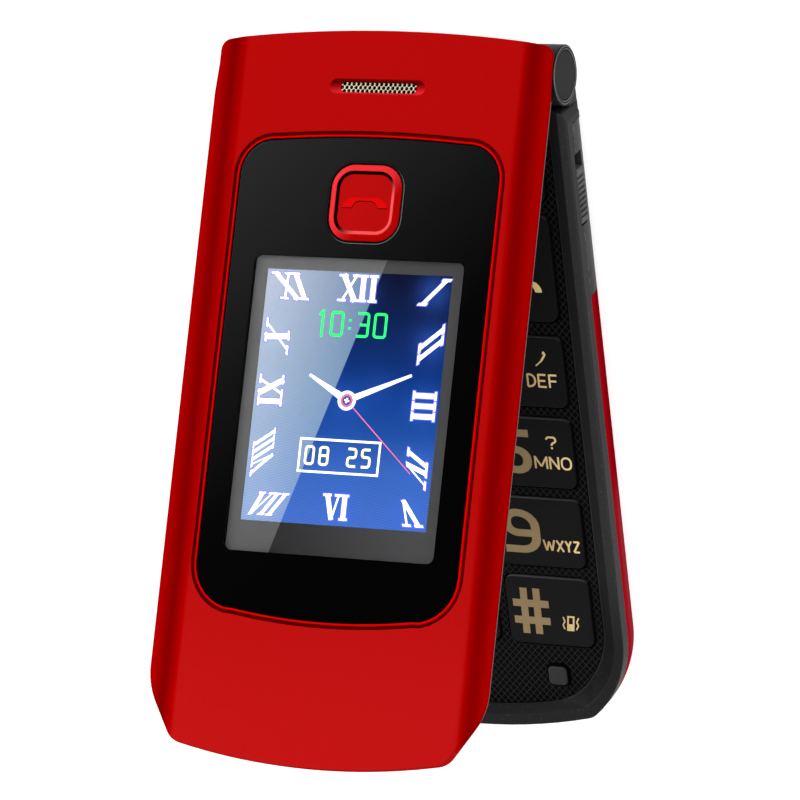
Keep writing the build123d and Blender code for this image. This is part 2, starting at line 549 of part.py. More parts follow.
with BuildPart() as usb_socket:
    mouth = (-USB_BACK - USB[0], -USB_BACK)
    width = (USB_V - USB[1] / 2, USB_V + USB[1] / 2)
    block(BASE, mouth, width, (USB_TOP - USB[2], USB_TOP))
    block(BASE, (mouth[0] - 1, mouth[1] - 0.6), (width[0] + 0.3, width[1] - 0.3),
          (USB_TOP - USB[2] + 0.3, USB_TOP - 0.3), mode=Mode.SUBTRACT)
    block(BASE, (mouth[0] + 0.9, mouth[1] - 0.5), (width[0] + 1.2, width[1] - 1.2),
          (USB_TOP - 1.25, USB_TOP - 0.65))
save(usb_socket, "usb_socket")

with BuildPart() as slide_switch:
    knob_end = SLOT_V[1] - 0.3
    knob = (knob_end - KNOB_LENGTH, knob_end)
    face = HALF + KNOB_PROUD
    block(BASE, (HALF - SLOT_DEPTH + 0.15, face), knob, (SLOT_Z[0] + 0.15, SLOT_Z[1] - 0.15))
    fillet(slide_switch.faces().sort_by(Axis.X)[-1].edges(), 0.3)
    pitch = (KNOB_LENGTH - 2 * RIB_MARGIN) / RIB_COUNT
    for rib in range(RIB_COUNT):
        v = knob[0] + RIB_MARGIN + pitch * (rib + 0.5)
        block(BASE, (face - 0.35, face + 1), (v - 0.28, v + 0.28), (SLOT_Z[0] - 1, SLOT_Z[1] + 1),
              mode=Mode.SUBTRACT)
save(slide_switch, "slide_switch")

with BuildPart() as case_screws:
    head_bottom = HEAD_TOP - SCREW_HEAD
    for side in (-1, 1):
        for v in SCREW_ROWS:
            disc(BASE, side * SCREW_X, v, SCREW_HEAD_R, (head_bottom, head_bottom + SCREW_HEAD))
            disc(BASE, side * SCREW_X, v, SCREW_R, (head_bottom, PANEL_TOP - 1.2))
            block(BASE, *centred((2.0, 0.4), v, side * SCREW_X),
                  (head_bottom - 1, head_bottom + 0.4), mode=Mode.SUBTRACT)
            block(BASE, *centred((0.4, 2.0), v, side * SCREW_X),
                  (head_bottom - 1, head_bottom + 0.4), mode=Mode.SUBTRACT)
save(case_screws, "case_screws")


# ---------------------------------------------------------------- hinge pieces
with BuildPart() as hinge_caps:
    rim_out = KNUCKLE_OUT + RIM_THICK
    roller((KNUCKLE_OUT - CAP_THICK, KNUCKLE_OUT), CAP_R)
    roller((-KNUCKLE_OUT, -KNUCKLE_OUT + CAP_THICK), CAP_R)
    roller((KNUCKLE_OUT, rim_out), RIM_R)
    roller((-rim_out, -KNUCKLE_OUT), RIM_R)
    roller((KNUCKLE_OUT + 0.05, rim_out + 1), RIM_R - RIM_WIDTH, mode=Mode.SUBTRACT)
    roller((-rim_out - 1, -KNUCKLE_OUT - 0.05), RIM_R - RIM_WIDTH, mode=Mode.SUBTRACT)
save(hinge_caps, "hinge_caps")

CAM_OUT = LID_BARREL - 0.3
with BuildPart() as hinge_shaft:
    roller((SHAFT_IN, KNUCKLE_OUT - CAP_THICK - 0.45), SHAFT_R)
    roller((CAM_OUT - CAM_THICK, CAM_OUT), CAM_R)
save(hinge_shaft, "hinge_shaft")

with BuildPart() as hinge_module:
    roller((MODULE_IN, LID_BARREL), MODULE_R)
    roller((CAM_OUT - CAM_THICK - 0.2, LID_BARREL + 1), CAM_R + GAP, mode=Mode.SUBTRACT)
    roller((SHAFT_IN - 0.3, LID_BARREL + 1), SHAFT_R + FIT, mode=Mode.SUBTRACT)
    roller((MODULE_IN + 1.0, SHAFT_IN - 0.3), MODULE_R - MODULE_WALL, mode=Mode.SUBTRACT)
save(hinge_module, "hinge_module")

with BuildPart() as hinge_spring:
    spring_start = MODULE_IN + 1.0 + WIRE_R
    spring_room = SHAFT_IN - 0.3 - WIRE_R - spring_start
    with BuildLine() as coil:
        Helix(spring_room / COIL_TURNS, spring_room, COIL_R,
              center=(spring_start, AXIS_Y, AXIS_HEIGHT), direction=(1, 0, 0))
    with BuildSketch(coil.line ^ 0):
        Circle(WIRE_R)
    sweep(is_frenet=True)
save(hinge_spring, "hinge_spring")

with BuildPart() as hinge_bush:
    bush_out = KNUCKLE_OUT - CAP_THICK - 1
    roller((-bush_out, -BUSH_IN), BUSH_R)
    roller((-bush_out - 1, -BUSH_IN + 1), BUSH_R - BUSH_WALL, mode=Mode.SUBTRACT)
save(hinge_bush, "hinge_bush")


# ---------------------------------------------------------------- outer cover of the lid
def lid_prism(height, side=0.0, start=0.0, tip=0.0, mode=Mode.ADD):
    """The lid outline, pulled in at the sides, the hinge end and the free end, as a prism."""
    plan = outline(LID.offset(height[0]), HALF - side, -LID_BACK + start, LID_TIP - tip, LID_CUT,
                   (10.0, 3.0), 1.8)
    extrude(plan, amount=height[1] - height[0], mode=mode)


BUTTON_HOLE = BUTTON_SIZE + 2 * KEY_GAP + 2 * RING_WIDTH
MESH_CORNER = MESH[1] / 2
with BuildPart() as lid_cover:
    with BuildSketch(LID_CROSS.offset(-LID_BACK - 1)):
        with BuildLine():
            Polyline((-HALF, LID_BRIM), (-HALF, COVER_BOTTOM), (HALF, COVER_BOTTOM), (HALF, LID_BRIM))
            Spline((HALF, LID_BRIM), (HALF - SHOULDER, LID_OUTER), tangents=((-1, 0.08), (-1, 0.12)))
            Line((HALF - SHOULDER, LID_OUTER), (SHOULDER - HALF, LID_OUTER))
            Spline((SHOULDER - HALF, LID_OUTER), (-HALF, LID_BRIM), tangents=((-1, -0.12), (-1, -0.08)))
        make_face()
    extrude(amount=LID_TIP + LID_BACK + 2)
    lid_prism((COVER_BOTTOM - 1, LID_OUTER + 1), mode=Mode.INTERSECT)
    for side in (-1, 1):
        with BuildSketch(LID.offset(COVER_BOTTOM - 1)):
            with BuildLine():
                Polyline((side * KNUCKLE_OUT, LID_BACK + 1), (side * KNUCKLE_OUT, -1.5),
                         (side * (HALF + 0.01), -4.6), (side * (HALF + 2), -4.6),
                         (side * (HALF + 2), LID_BACK + 1), close=True)
            make_face()
        extrude(amount=4, mode=Mode.SUBTRACT)
        roller(sorted((side * LID_BARREL, side * (HALF + 1))), SWEEP_R, mode=Mode.SUBTRACT)
    with BuildSketch(LID.offset(LID_OUTER - GROOVE_DEEP)):
        add(glass_shape(Plane.XY, GAP + BEAD + GROOVE))
        add(glass_shape(Plane.XY, GAP + BEAD), mode=Mode.SUBTRACT)
    extrude(amount=GROOVE_DEEP + 1, mode=Mode.SUBTRACT)
    extrude(glass_shape(LID.offset(GLASS_TOP - GLASS_THICK), GAP), amount=3, mode=Mode.SUBTRACT)
    block(LID, *centred((OUTER_LCD[0] + 0.4, OUTER_LCD[1] + 0.4), OUTER_LCD_V),
          (COVER_BOTTOM - 1, GLASS_TOP), 1.0, mode=Mode.SUBTRACT)
    block(LID, *centred((BUTTON_HOLE, BUTTON_HOLE), BUTTON_V), (COVER_BOTTOM - 1, GLASS_TOP), 3.0,
          mode=Mode.SUBTRACT)
    block(LID, *centred(RECESS, MESH_V), (MESH_TOP, LID_OUTER + 1), RECESS[1] / 2 - 0.01,
          mode=Mode.SUBTRACT)
    block(LID, *centred((MESH[0] + 0.1, MESH[1] + 0.1), MESH_V), (MESH_TOP - MESH[2], LID_OUTER),
          MESH_CORNER, mode=Mode.SUBTRACT)
    block(LID, *centred((MESH[0] - 1.0, MESH[1] - 0.6), MESH_V), (COVER_BOTTOM - 1, LID_OUTER), 0.5,
          mode=Mode.SUBTRACT)
    LID_SCREWS = [(side * (HALF - LID_SCREW_INSET), v) for side in (-1, 1)
                  for v in (LID_SCREW_START, LID_TIP - LID_SCREW_END)]
    for x, v in LID_SCREWS:
        disc(LID, x, v, BOSS_R, (BOSS_BOTTOM, COVER_BOTTOM + 0.1))
        disc(LID, x, v, LID_SCREW_R + FIT, (BOSS_BOTTOM - 1, COVER_BOTTOM), mode=Mode.SUBTRACT)
save(lid_cover, "lid_cover")


# ---------------------------------------------------------------- inner housing of the lid
LID_HOLD = (BARREL_R + 0.55, 3.5)      # start of the shell beside the knuckles; back of the saddle
with BuildPart() as lid_housing:
    rim_side, rim_tip = 0.15, 0.15
    lid_prism((FLANK_TOP, COVER_BOTTOM), rim_side, 0.3, rim_tip)
    shell = [outline(LID.offset(INNER_FACE), HALF - rim_side - UNDERCUT, 0.0,
                     LID_TIP - rim_tip - UNDERCUT_TIP, LID_CUT, (10.0, 3.0)),
             outline(LID.offset(FLANK_TOP), HALF - rim_side, 0.0, LID_TIP - rim_tip, LID_CUT,
                     (10.0, 3.0))]
    loft(shell)
    block(LID, (-LID_BARREL, LID_BARREL), (-LID_HOLD[1], 1.0), (INNER_FACE, COVER_BOTTOM))
    for side in (-1, 1):
        block(LID, sorted((side * LID_BARREL, side * (HALF + 1))), (-LID_BACK - 1, LID_HOLD[0]),
              (-BARREL_R, COVER_BOTTOM + 0.5), mode=Mode.SUBTRACT)
    block(LID, (-LID_BARREL, LID_BARREL), (-LID_BACK - 1, -LID_HOLD[1]),
          (-BARREL_R, COVER_BOTTOM + 0.5), mode=Mode.SUBTRACT)
    roller((-LID_BARREL, LID_BARREL), BARREL_R)
    cavity = HALF - LID_CAVITY_MARGIN
    room = outline(LID.offset(INNER_FLOOR), cavity, LID_CAVITY_START, LID_TIP - LID_CAVITY_END,
                   LID_CUT, (8.0, 3.0))
    extrude(room, amount=COVER_BOTTOM - INNER_FLOOR + 1, mode=Mode.SUBTRACT)
    block(LID, *centred((INNER_GLASS[0] + 2 * GAP, INNER_GLASS[1] + 2 * GAP), INNER_GLASS_V),
          (INNER_FACE - 1, INNER_FACE + 0.1 + INNER_GLASS[2] + 0.05), 3.0, mode=Mode.SUBTRACT)
    block(LID, *centred((INNER_LCD[0] + 2 * GAP, INNER_LCD[1] + 2 * GAP), INNER_LCD_V),
          (INNER_FACE, INNER_FLOOR + 0.1), 1.0, mode=Mode.SUBTRACT)
    receiver_v = LID_TIP - RECEIVER_END
    block(LID, *centred((8.0, 1.3), receiver_v), (INNER_FACE - 1, INNER_FLOOR + 0.1), 0.6,
          mode=Mode.SUBTRACT)
    block(LID, *centred((RINGER[0] + 2 * GAP, RINGER[1] + 2 * GAP), MESH_V + 0.2),
          (COVER_BOTTOM - RINGER[2] - 0.1, COVER_BOTTOM + 1), mode=Mode.SUBTRACT)
    roller((MODULE_IN, LID_BARREL + 1), MODULE_R + FIT, mode=Mode.SUBTRACT)
    flex = (FLEX_X - FLEX_WIDTH / 2, FLEX_X + FLEX_WIDTH / 2)
    roller((-LID_BARREL - 1, flex[1] + 0.3), BUSH_R + FIT, mode=Mode.SUBTRACT)
    block(LID, (flex[0] - 0.3, flex[1] + 0.3), (0, LID_CAVITY_START + 0.1),
          (INNER_FLOOR, FLEX_ROLL_R + 0.15), mode=Mode.SUBTRACT)
    for x, v in LID_SCREWS:
        disc(LID, x, v, LID_HEAD_R + GAP, (INNER_FACE - 1, INNER_FACE + 0.05 + LID_HEAD),
             mode=Mode.SUBTRACT)
        disc(LID, x, v, LID_SCREW_R + GAP, (INNER_FACE - 1, INNER_FLOOR + 0.1), mode=Mode.SUBTRACT)
save(lid_housing, "lid_housing")


# ---------------------------------------------------------------- windows and screens of the lid
with BuildPart() as outer_glass:
    extrude(glass_shape(LID.offset(GLASS_TOP - GLASS_THICK)), amount=GLASS_THICK)
    block(LID, *centred((BUTTON_HOLE, BUTTON_HOLE), BUTTON_V), (GLASS_TOP - GLASS_THICK, GLASS_TOP),
          BUTTON_CORNER + RING_WIDTH, mode=Mode.SUBTRACT)
save(outer_glass, "outer_glass")

LCD_TOP = GLASS_TOP - GLASS_THICK - 0.05
with BuildPart() as outer_display:
    block(LID, *centred(OUTER_LCD, OUTER_LCD_V), (LCD_TOP - OUTER_LCD[2], LCD_TOP), 0.8)
save(outer_display, "outer_display")

LID_BOARD_TOP = LCD_TOP - OUTER_LCD[2] - GAP
with BuildPart() as lid_board:
    block(LID, (-LID_BOARD[0] / 2, LID_BOARD[0] / 2),
          (LID_BOARD_START, LID_BOARD_START + LID_BOARD[1]),
          (LID_BOARD_TOP - LID_BOARD[2], LID_BOARD_TOP), 1.0)
save(lid_board, "lid_board")

GLASS_BOTTOM = INNER_FACE + 0.1
with BuildPart() as inner_glass:
    block(LID, *centred(INNER_GLASS, INNER_GLASS_V), (GLASS_BOTTOM, GLASS_BOTTOM + INNER_GLASS[2]), 2.9)
save(inner_glass, "inner_glass")

INNER_LCD_BOTTOM = GLASS_BOTTOM + INNER_GLASS[2] + GAP
with BuildPart() as inner_display:
    block(LID, *centred(INNER_LCD, INNER_LCD_V),
          (INNER_LCD_BOTTOM, INNER_LCD_BOTTOM + INNER_LCD[2]), 0.8)
save(inner_display, "inner_display")

with BuildPart() as answer_button:
    block(LID, *centred((BUTTON_SIZE, BUTTON_SIZE), BUTTON_V), (BUTTON_BOTTOM, BUTTON_TOP),
          BUTTON_CORNER)
    fillet(answer_button.faces().sort_by(Axis(AXIS_POINT, LID.z_dir))[-1].edges(), 0.5)
    face = BUTTON_SIZE - 2 * BUTTON_RIM
    block(LID, *centred((face, face), BUTTON_V), (BUTTON_TOP - 0.25, BUTTON_TOP + 1),
          BUTTON_CORNER - BUTTON_RIM + 0.2, mode=Mode.SUBTRACT)
    flange = BUTTON_SIZE + 2 * RING_WIDTH
    block(LID, *centred((flange, flange), BUTTON_V), (BUTTON_BOTTOM, COVER_BOTTOM - 0.1), 2.9)
save(answer_button, "answer_button")

with BuildPart() as button_ring:
    ring = BUTTON_HOLE - 2 * 0.03
    block(LID, *centred((ring, ring), BUTTON_V), (GLASS_TOP - GLASS_THICK, GLASS_TOP + 0.15),
          BUTTON_CORNER + RING_WIDTH)
    bore = BUTTON_SIZE + 2 * KEY_GAP
    block(LID, *centred((bore, bore), BUTTON_V), (COVER_BOTTOM, GLASS_TOP + 1),
          BUTTON_CORNER + KEY_GAP, mode=Mode.SUBTRACT)
save(button_ring, "button_ring")


# ---------------------------------------------------------------- sounds, magnet, cable, screws
with BuildPart() as speaker_mesh:
    with BuildSketch(LID.offset(MESH_TOP - MESH[2])):
        with Locations((0, -MESH_V)):
            RectangleRounded(MESH[0], MESH[1], MESH_CORNER - 0.01)
            with GridLocations(MESH_PITCH, 2 * MESH_ROW, 16, 2):
                Circle(MESH_HOLE_R, mode=Mode.SUBTRACT)
            with GridLocations(MESH_PITCH, MESH_ROW, 17, 1):
                Circle(MESH_HOLE_R, mode=Mode.SUBTRACT)
    extrude(amount=MESH[2])
save(speaker_mesh, "speaker_mesh")

with BuildPart() as ringer:
    block(LID, *centred(RINGER, MESH_V + 0.2), (COVER_BOTTOM - RINGER[2], COVER_BOTTOM - 0.05))
save(ringer, "ringer")

with BuildPart() as receiver:
    block(LID, *centred(RECEIVER, LID_TIP - RECEIVER_END),
          (INNER_FLOOR, INNER_FLOOR + RECEIVER[2]), 1.5)
save(receiver, "receiver")

with BuildPart() as lid_magnet:
    block(LID, *centred(MAGNET, LID_TIP - MAGNET_AT[1], MAGNET_AT[0]),
          (INNER_FLOOR, INNER_FLOOR + MAGNET[2]))
save(lid_magnet, "lid_magnet")

with BuildPart() as hinge_flex:
    roller(flex, FLEX_ROLL_R)
    roller((flex[0] - 1, flex[1] + 1), FLEX_ROLL_R - FLEX_THICK, mode=Mode.SUBTRACT)
    block(LID, flex, (0, FLEX_END), (FLEX_ROLL_R - FLEX_THICK, FLEX_ROLL_R))
save(hinge_flex, "hinge_flex")

with BuildPart() as lid_screws:
    for x, v in LID_SCREWS:
        head = INNER_FACE + 0.05
        disc(LID, x, v, LID_HEAD_R, (head, head + LID_HEAD))
        disc(LID, x, v, LID_SCREW_R, (head, COVER_BOTTOM - 0.6))
        block(LID, *centred((1.6, 0.35), v, x), (head - 1, head + 0.35), mode=Mode.SUBTRACT)
        block(LID, *centred((0.35, 1.6), v, x), (head - 1, head + 0.35), mode=Mode.SUBTRACT)
save(lid_screws, "lid_screws")
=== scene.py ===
"""Flip phone, standing open a little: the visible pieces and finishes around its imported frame.

A piece is worked out in (x, v, h): x across, v the distance from the hinge axis towards the free end,
and h the height over the plane that holds the hinge axis, all in millimetres. on_base and on_lid turn
those rows into metres in the shared frame.
"""
import json
from math import acos, cos, pi, radians, sin, tan

import bmesh
import bpy
import numpy as np
from bpy.props import FloatProperty, FloatVectorProperty, IntProperty, PointerProperty
from bpy.types import NodeSocket, Operator, Panel, PropertyGroup
from mathutils import Matrix
from mathutils.geometry import delaunay_2d_cdt


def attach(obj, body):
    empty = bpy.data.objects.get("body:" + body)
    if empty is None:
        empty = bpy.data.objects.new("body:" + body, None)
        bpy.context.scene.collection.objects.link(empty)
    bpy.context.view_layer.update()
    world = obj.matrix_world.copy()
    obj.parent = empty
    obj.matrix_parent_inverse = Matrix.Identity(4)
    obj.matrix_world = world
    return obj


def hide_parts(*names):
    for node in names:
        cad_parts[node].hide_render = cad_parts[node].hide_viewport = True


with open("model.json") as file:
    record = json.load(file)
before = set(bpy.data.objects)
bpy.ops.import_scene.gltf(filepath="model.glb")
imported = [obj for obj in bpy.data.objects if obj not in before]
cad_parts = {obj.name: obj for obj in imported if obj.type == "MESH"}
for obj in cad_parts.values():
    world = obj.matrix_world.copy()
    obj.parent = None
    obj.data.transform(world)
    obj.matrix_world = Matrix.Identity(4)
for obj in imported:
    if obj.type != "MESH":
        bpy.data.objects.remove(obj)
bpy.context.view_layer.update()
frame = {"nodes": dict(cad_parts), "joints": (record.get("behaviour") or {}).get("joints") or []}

bl_info = {
    "name": "Flip Phone",
    "version": (1, 0, 0),
    "blender": (4, 5, 0),
    "location": "3D View > Sidebar > Flip Phone",
    "description": "Builds the visible pieces and finishes of a flip phone around its frame",
    "category": "Object",
}

MM = 0.001
HINGE = next(joint for joint in frame["joints"] if joint["name"] == "lid_hinge")
AXIS = np.array(HINGE["pos_m"])
OPEN = radians(-HINGE["range_deg"][0])
RIGHT_ANGLE, TURN = pi / 2, 2 * pi

# Lengths that several pieces share, in millimetres: from the hinge axis to the middle of the
# display, of the mesh and of the rest pads, and from the middle of the phone to a rest pad.
DISPLAY_V, MESH_V, PAD_V, PAD_X = 54.3, 4.0, 104.0, 15.6
# The display's length, the depth of the mesh's bed under the cover, the bed's thickness, and the
# play between the outer glass and its pocket.
DISPLAY_TALL, BED_DROP, BED_THICK, POCKET = 46.6, 0.6, 0.3, 0.1


# ---------------------------------------------------------------- settings
def length(name, millimetres, about):
    """A length that a user may change, kept in metres."""
    return FloatProperty(name=name, description=about, default=millimetres * MM, min=0.0,
                         precision=5, unit="LENGTH")


def paint(name, shade, about):
    """A colour that a user may change, given as it shows on a screen from 0 to 255."""
    return FloatVectorProperty(name=name, description=about, default=linear(shade), size=3,
                               min=0.0, max=1.0, subtype="COLOR")


def linear(shade):
    """Screen values from 0 to 255 as linear light: the standard curve, a straight foot and a power."""
    part = np.asarray(shade, float) / 255
    return tuple(np.where(part <= 0.04045, part / 12.92, ((part + 0.055) / 1.055) ** 2.4).tolist())


def grey(level):
    """A screen grey with a trace of blue, as linear light."""
    return linear((level, level, level + 1))


def screen(*stops):
    """The stops of a ramp, their colours given as screen values."""
    return [(place, linear(shade)) for place, shade in stops]


class LidSizes(PropertyGroup):
    """Sizes of the lid."""
    half: length("Half Width", 28.9, "Middle of the phone to its side")
    back: length("Reach Behind Hinge", 5.0, "Hinge axis to the hinge end of the lid")
    tip: length("Reach", 110.3, "Hinge axis to the free end of the lid")
    top: length("Cover Height", 7.05, "Plane of the hinge axis to the flat of the cover")
    brim: length("Brim Height", 6.0, "The same, at the sides")
    seam: length("Seam Height", 5.45, "The same, at the underside of the cover")
    cove: length("Cove Width", 4.7, "Width of the hollowed band along each side")
    glass_top: length("Glass Height", 6.85, "Plane of the hinge axis to the outer glass")
    glass_thick: length("Glass Thickness", 0.8, "Thickness of the outer glass")
    glass_half: length("Glass Half Width", 22.2, "Middle to the side of the outer glass")
    glass_start: length("Glass Start", 12.05, "Hinge axis to the outer glass")
    glass_end: length("Glass End", 87.6, "Hinge axis to the far end of the outer glass")
    bead: length("Bead Width", 0.4, "Raised bead around the outer glass")
    groove: length("Groove Width", 0.55, "Groove around the bead")
    groove_deep: length("Groove Depth", 0.3, "Depth of that groove")


class DisplaySizes(PropertyGroup):
    """Sizes of the outer display and its clock face."""
    middle: length("Display Middle", 52.9, "Hinge axis to the middle of the picture")
    half_width: length("Picture Half Width", 15.84, "Middle to the side of the picture")
    half_height: length("Picture Half Height", 19.8, "Middle to the end of the picture")
    border: length("Border Corner", 1.2, "Corner radius of the grey border")
    numeral: length("Numeral Height", 4.2, "Height of a numeral of the clock face")
    heavy: length("Heavy Stroke", 0.85, "Width of a heavy stroke")
    fine: length("Fine Stroke", 0.36, "Width of a fine stroke")


class ButtonSizes(PropertyGroup):
    """Sizes of the button in the outer glass."""
    middle: length("Button Middle", 22.3, "Hinge axis to the middle of the button")
    width: length("Button Width", 12.0, "Width of the button")
    corner: length("Button Corner", 3.75, "Corner radius of the button")
    top: length("Button Height", 7.3, "Plane of the hinge axis to the top of the rim")
    rim: length("Rim Width", 0.92, "Width of the sloping rim")
    dish: length("Face Depth", 0.27, "Top of the rim down to the face")


class KeypadSizes(PropertyGroup):
    """Sizes of the keypad."""
    half: length("Panel Half Width", 24.4, "Middle to the side of the keypad panel")
    start: length("Panel Start", 8.0, "Hinge axis to the keypad panel")
    tip: length("Panel End", 110.3, "Hinge axis to the free end of the keypad panel")
    panel_drop: length("Panel Depth", 0.4, "Plane of the hinge axis down to the keypad panel")
    panel_thick: length("Panel Thickness", 1.0, "Thickness of the keypad panel")
    key_top: length("Key Height", 0.1, "Plane of the hinge axis to the top of a key")
    key_gap: length("Key Gap", 0.15, "Gap around a key")
    digit: length("Digit Height", 7.75, "Height of a large legend")
    stroke: length("Digit Stroke", 1.28, "Width of the level strokes of a large legend")
    letter_stroke: length("Letter Stroke", 0.33, "Width of the strokes of the small letters")


class Colours(PropertyGroup):
    """Colours of the finishes."""
    # The lid's red turns lighter and whiter toward the free end by a painted sheen.
    lacquer: paint("Lacquer", (190, 12, 12), "Red of the lid cover near the hinge")
    lacquer_low: paint("Lacquer Low", (205, 23, 23), "Red of the lid cover near its free end")
    # The bead's bright red is a painted highlight, the groove's dark red painted shade.
    bead: paint("Bead", (255, 0, 0), "Bead around the outer glass")
    groove: paint("Groove", (92, 0, 2), "Groove around the bead")
    button_face: paint("Button Face", (194, 12, 12), "Face of the button")
    cover: paint("Battery Cover", (160, 4, 22), "Battery cover")
    legend: paint("Legends", (236, 208, 150), "Gold letters on the keys")
    mesh: paint("Mesh", (255, 250, 214), "Metal mesh over the ringer")
    dial: paint("Numerals", (250, 252, 255), "Numerals and hands of the clock face")


class PhoneSettings(PropertyGroup):
    """All that a user may change."""
    lid: PointerProperty(type=LidSizes)
    display: PointerProperty(type=DisplaySizes)
    button: PointerProperty(type=ButtonSizes)
    keypad: PointerProperty(type=KeypadSizes)
    colours: PointerProperty(type=Colours)
    smooth: IntProperty(name="Corner Steps", default=7, min=3, max=16,
                        description="Points along each rounded corner")


def in_mm(group):
    """The lengths of a group by name, in millimetres."""
    return {name: getattr(group, name) / MM for name in group.__annotations__}


# ---------------------------------------------------------------- places
def on_base(rows):
    """Rows (x, v, h) of the base in millimetres, as metres in the shared frame."""
    x, v, h = np.asarray(rows, float).T * MM
    return np.stack((AXIS[0] + x, AXIS[1] - v, AXIS[2] + h), 1)


def on_lid(rows):
    """The same for the lid, whose plane is turned open about the hinge axis."""
    x, v, h = np.asarray(rows, float).T * MM
    return np.stack((AXIS[0] + x, AXIS[1] - v * cos(OPEN) + h * sin(OPEN),
                     AXIS[2] + v * sin(OPEN) + h * cos(OPEN)), 1)


# ---------------------------------------------------------------- outlines
def unit(vector):
    return vector / np.linalg.norm(vector)


def corner_arc(corner, before, after, radius, steps):
    """An arc that touches both sides of a corner: it starts radius * tan(turn / 2) short of the
    corner, and its point at an angle is radius * sin along the first side and radius * (1 - cos)
    square to it."""
    turn = acos(float(np.clip(before @ after, -1, 1)))
    if radius <= 0 or turn < 1e-4:
        return np.repeat(corner[None], steps + 1, 0)
    square = unit(after - before * (before @ after))
    angle = np.linspace(0, turn, steps + 1)[:, None]
    start = corner - before * radius * tan(turn / 2)
    return start + radius * (np.sin(angle) * before + (1 - np.cos(angle)) * square)


def bow(x, middle, corner):
    """v along a circle through (0, middle) and the corner on both sides: radius minus the root of
    radius squared less x squared."""
    rise = corner[1] - middle
    if abs(rise) < 1e-6:
        return np.full_like(x, middle), 0.0
    radius = (corner[0] ** 2 + rise ** 2) / (2 * abs(rise))
    root = np.sqrt(radius ** 2 - x ** 2)
    slope = np.sign(rise) * corner[0] / np.sqrt(radius ** 2 - corner[0] ** 2)
    return middle + np.sign(rise) * (radius - root), slope


def outline(start, corners, radii, end, steps=7, bows=8):
    """A closed outline that is the same on both sides: it bows through (0, start) and (0, end), and
    every corner on the way is an arc."""
    points = np.asarray(corners, float)
    first = unit(np.array((1.0, bow(points[0, 0], start, points[0])[1])))
    last = unit(np.array((-1.0, -bow(points[-1, 0], end, points[-1])[1])))
    ways = [first] + [unit(b - a) for a, b in zip(points[:-1], points[1:])] + [last]
    arcs = [corner_arc(p, ways[i], ways[i + 1], r, steps) for i, (p, r) in enumerate(zip(points, radii))]
    share = np.linspace(0, 1, bows + 1)[:-1]
    near = arcs[0][0, 0] * share
    far = (arcs[-1][-1, 0] * share)[::-1]
    half = np.concatenate((np.stack((near, bow(near, start, points[0])[0]), 1), *arcs,
                           np.stack((far, bow(far, end, points[-1])[0]), 1)))
    return np.concatenate((half, half[1:-1][::-1] * (-1, 1)))


def rounded(width, height, radius, x=0.0, v=0.0, steps=7):
    """A rectangle with round corners about (x, v)."""
    w, h = width / 2, height / 2
    return outline(-h, [(w, -h), (w, h)], [radius, radius], h, steps, 1) + (x, v)


def circle(radius, count):
    """Points round a circle about the origin: radius * (cos, sin)."""
    angle = np.linspace(0, TURN, count, False)
    return radius * np.stack((np.cos(angle), np.sin(angle)), 1)


def quarter(steps=5):
    """The angles of a quarter turn."""
    return np.linspace(0, RIGHT_ANGLE, steps)


def way_out(loop):
    """Outward unit normals of a closed outline: the mean way of the two sides at a point, turned."""
    ahead = np.roll(loop, -1, 0) - loop
    ahead /= np.maximum(np.linalg.norm(ahead, axis=1, keepdims=True), 1e-9)
    along = ahead + np.roll(ahead, 1, 0)
    along /= np.maximum(np.linalg.norm(along, axis=1, keepdims=True), 1e-9)
    x, v = loop.T
    turning = np.sign(np.sum(x * np.roll(v, -1) - v * np.roll(x, -1)))
    return np.stack((along[:, 1], -along[:, 0]), 1) * turning


def grown(loop, amount):
    """The outline moved out by an amount along its normals."""
    return loop + way_out(loop) * amount


def bent(points, radius, steps=4, closed=False):
    """A path with its inner corners rounded, by one radius or one for each point."""
    points = np.asarray(points, float)
    radii = np.broadcast_to(radius, len(points))
    before, after = np.roll(points, 1, 0), np.roll(points, -1, 0)
    ends = slice(None) if closed else slice(1, -1)
    arcs = [corner_arc(p, unit(p - a), unit(b - p), r, steps)
            for a, p, b, r in zip(before[ends], points[ends], after[ends], radii[ends])]
    return np.concatenate(arcs if closed else [points[:1], *arcs, points[-1:]])


# ---------------------------------------------------------------- surfaces
class Shell:
    """The surfaces of one piece, gathered before they become a mesh."""

    def __init__(self):
        self.rows, self.faces, self.finish, self.count = [], [], [], 0

    def add(self, rows, faces, finish=0):
        self.rows.append(np.asarray(rows, float))
        self.faces += (np.asarray(faces) + self.count).tolist()
        self.finish.append(np.full(len(faces), finish))
        self.count += len(rows)
        return self

    def more(self, faces, back, finish):
        """Further faces on the rows last added."""
        self.faces += (np.asarray(faces) + self.count - back).tolist()
        self.finish.append(np.full(len(faces), finish))
        return self

    def skin(self, loops, finish=0, closed=True):
        """Quads between following loops of the same count: a grid whose second way may close."""
        loops = np.asarray(loops, float)
        k, n = loops.shape[:2]
        i = np.arange(k - 1)[:, None] * n
        j = np.arange(n if closed else n - 1)[None]
        nxt = (j + 1) % n
        quads = np.stack((i + j, i + nxt, i + n + nxt, i + n + j), -1).reshape(-1, 4)
        return self.add(loops.reshape(-1, 3), quads, finish)

    def swept(self, loop, profile, finish=0):
        """A profile of (amount out, height) carried round an outline."""
        return self.skin([raised(grown(loop, out), height) for out, height in profile], finish)

    def banded(self, loop, *bands):
        """Profiles of (finish, points) carried round an outline, each from where the last one ended."""
        for finish, profile in chained(bands):
            self.swept(loop, profile, finish)
        return self

    def wall(self, loop, high, low, finish=0):
        """An upright wall on an outline, between two heights."""
        return self.skin([raised(loop, high), raised(loop, low)], finish)

    def fill(self, loops, height, finish=0, lines=()):
        """The flat inside the first outline and outside the others, as constrained Delaunay
        triangles; the height is a number or a function of the points."""
        points, triangles = tiled(loops, lines)
        level = height(points) if callable(height) else height
        return self.add(raised(points, level), triangles, finish)


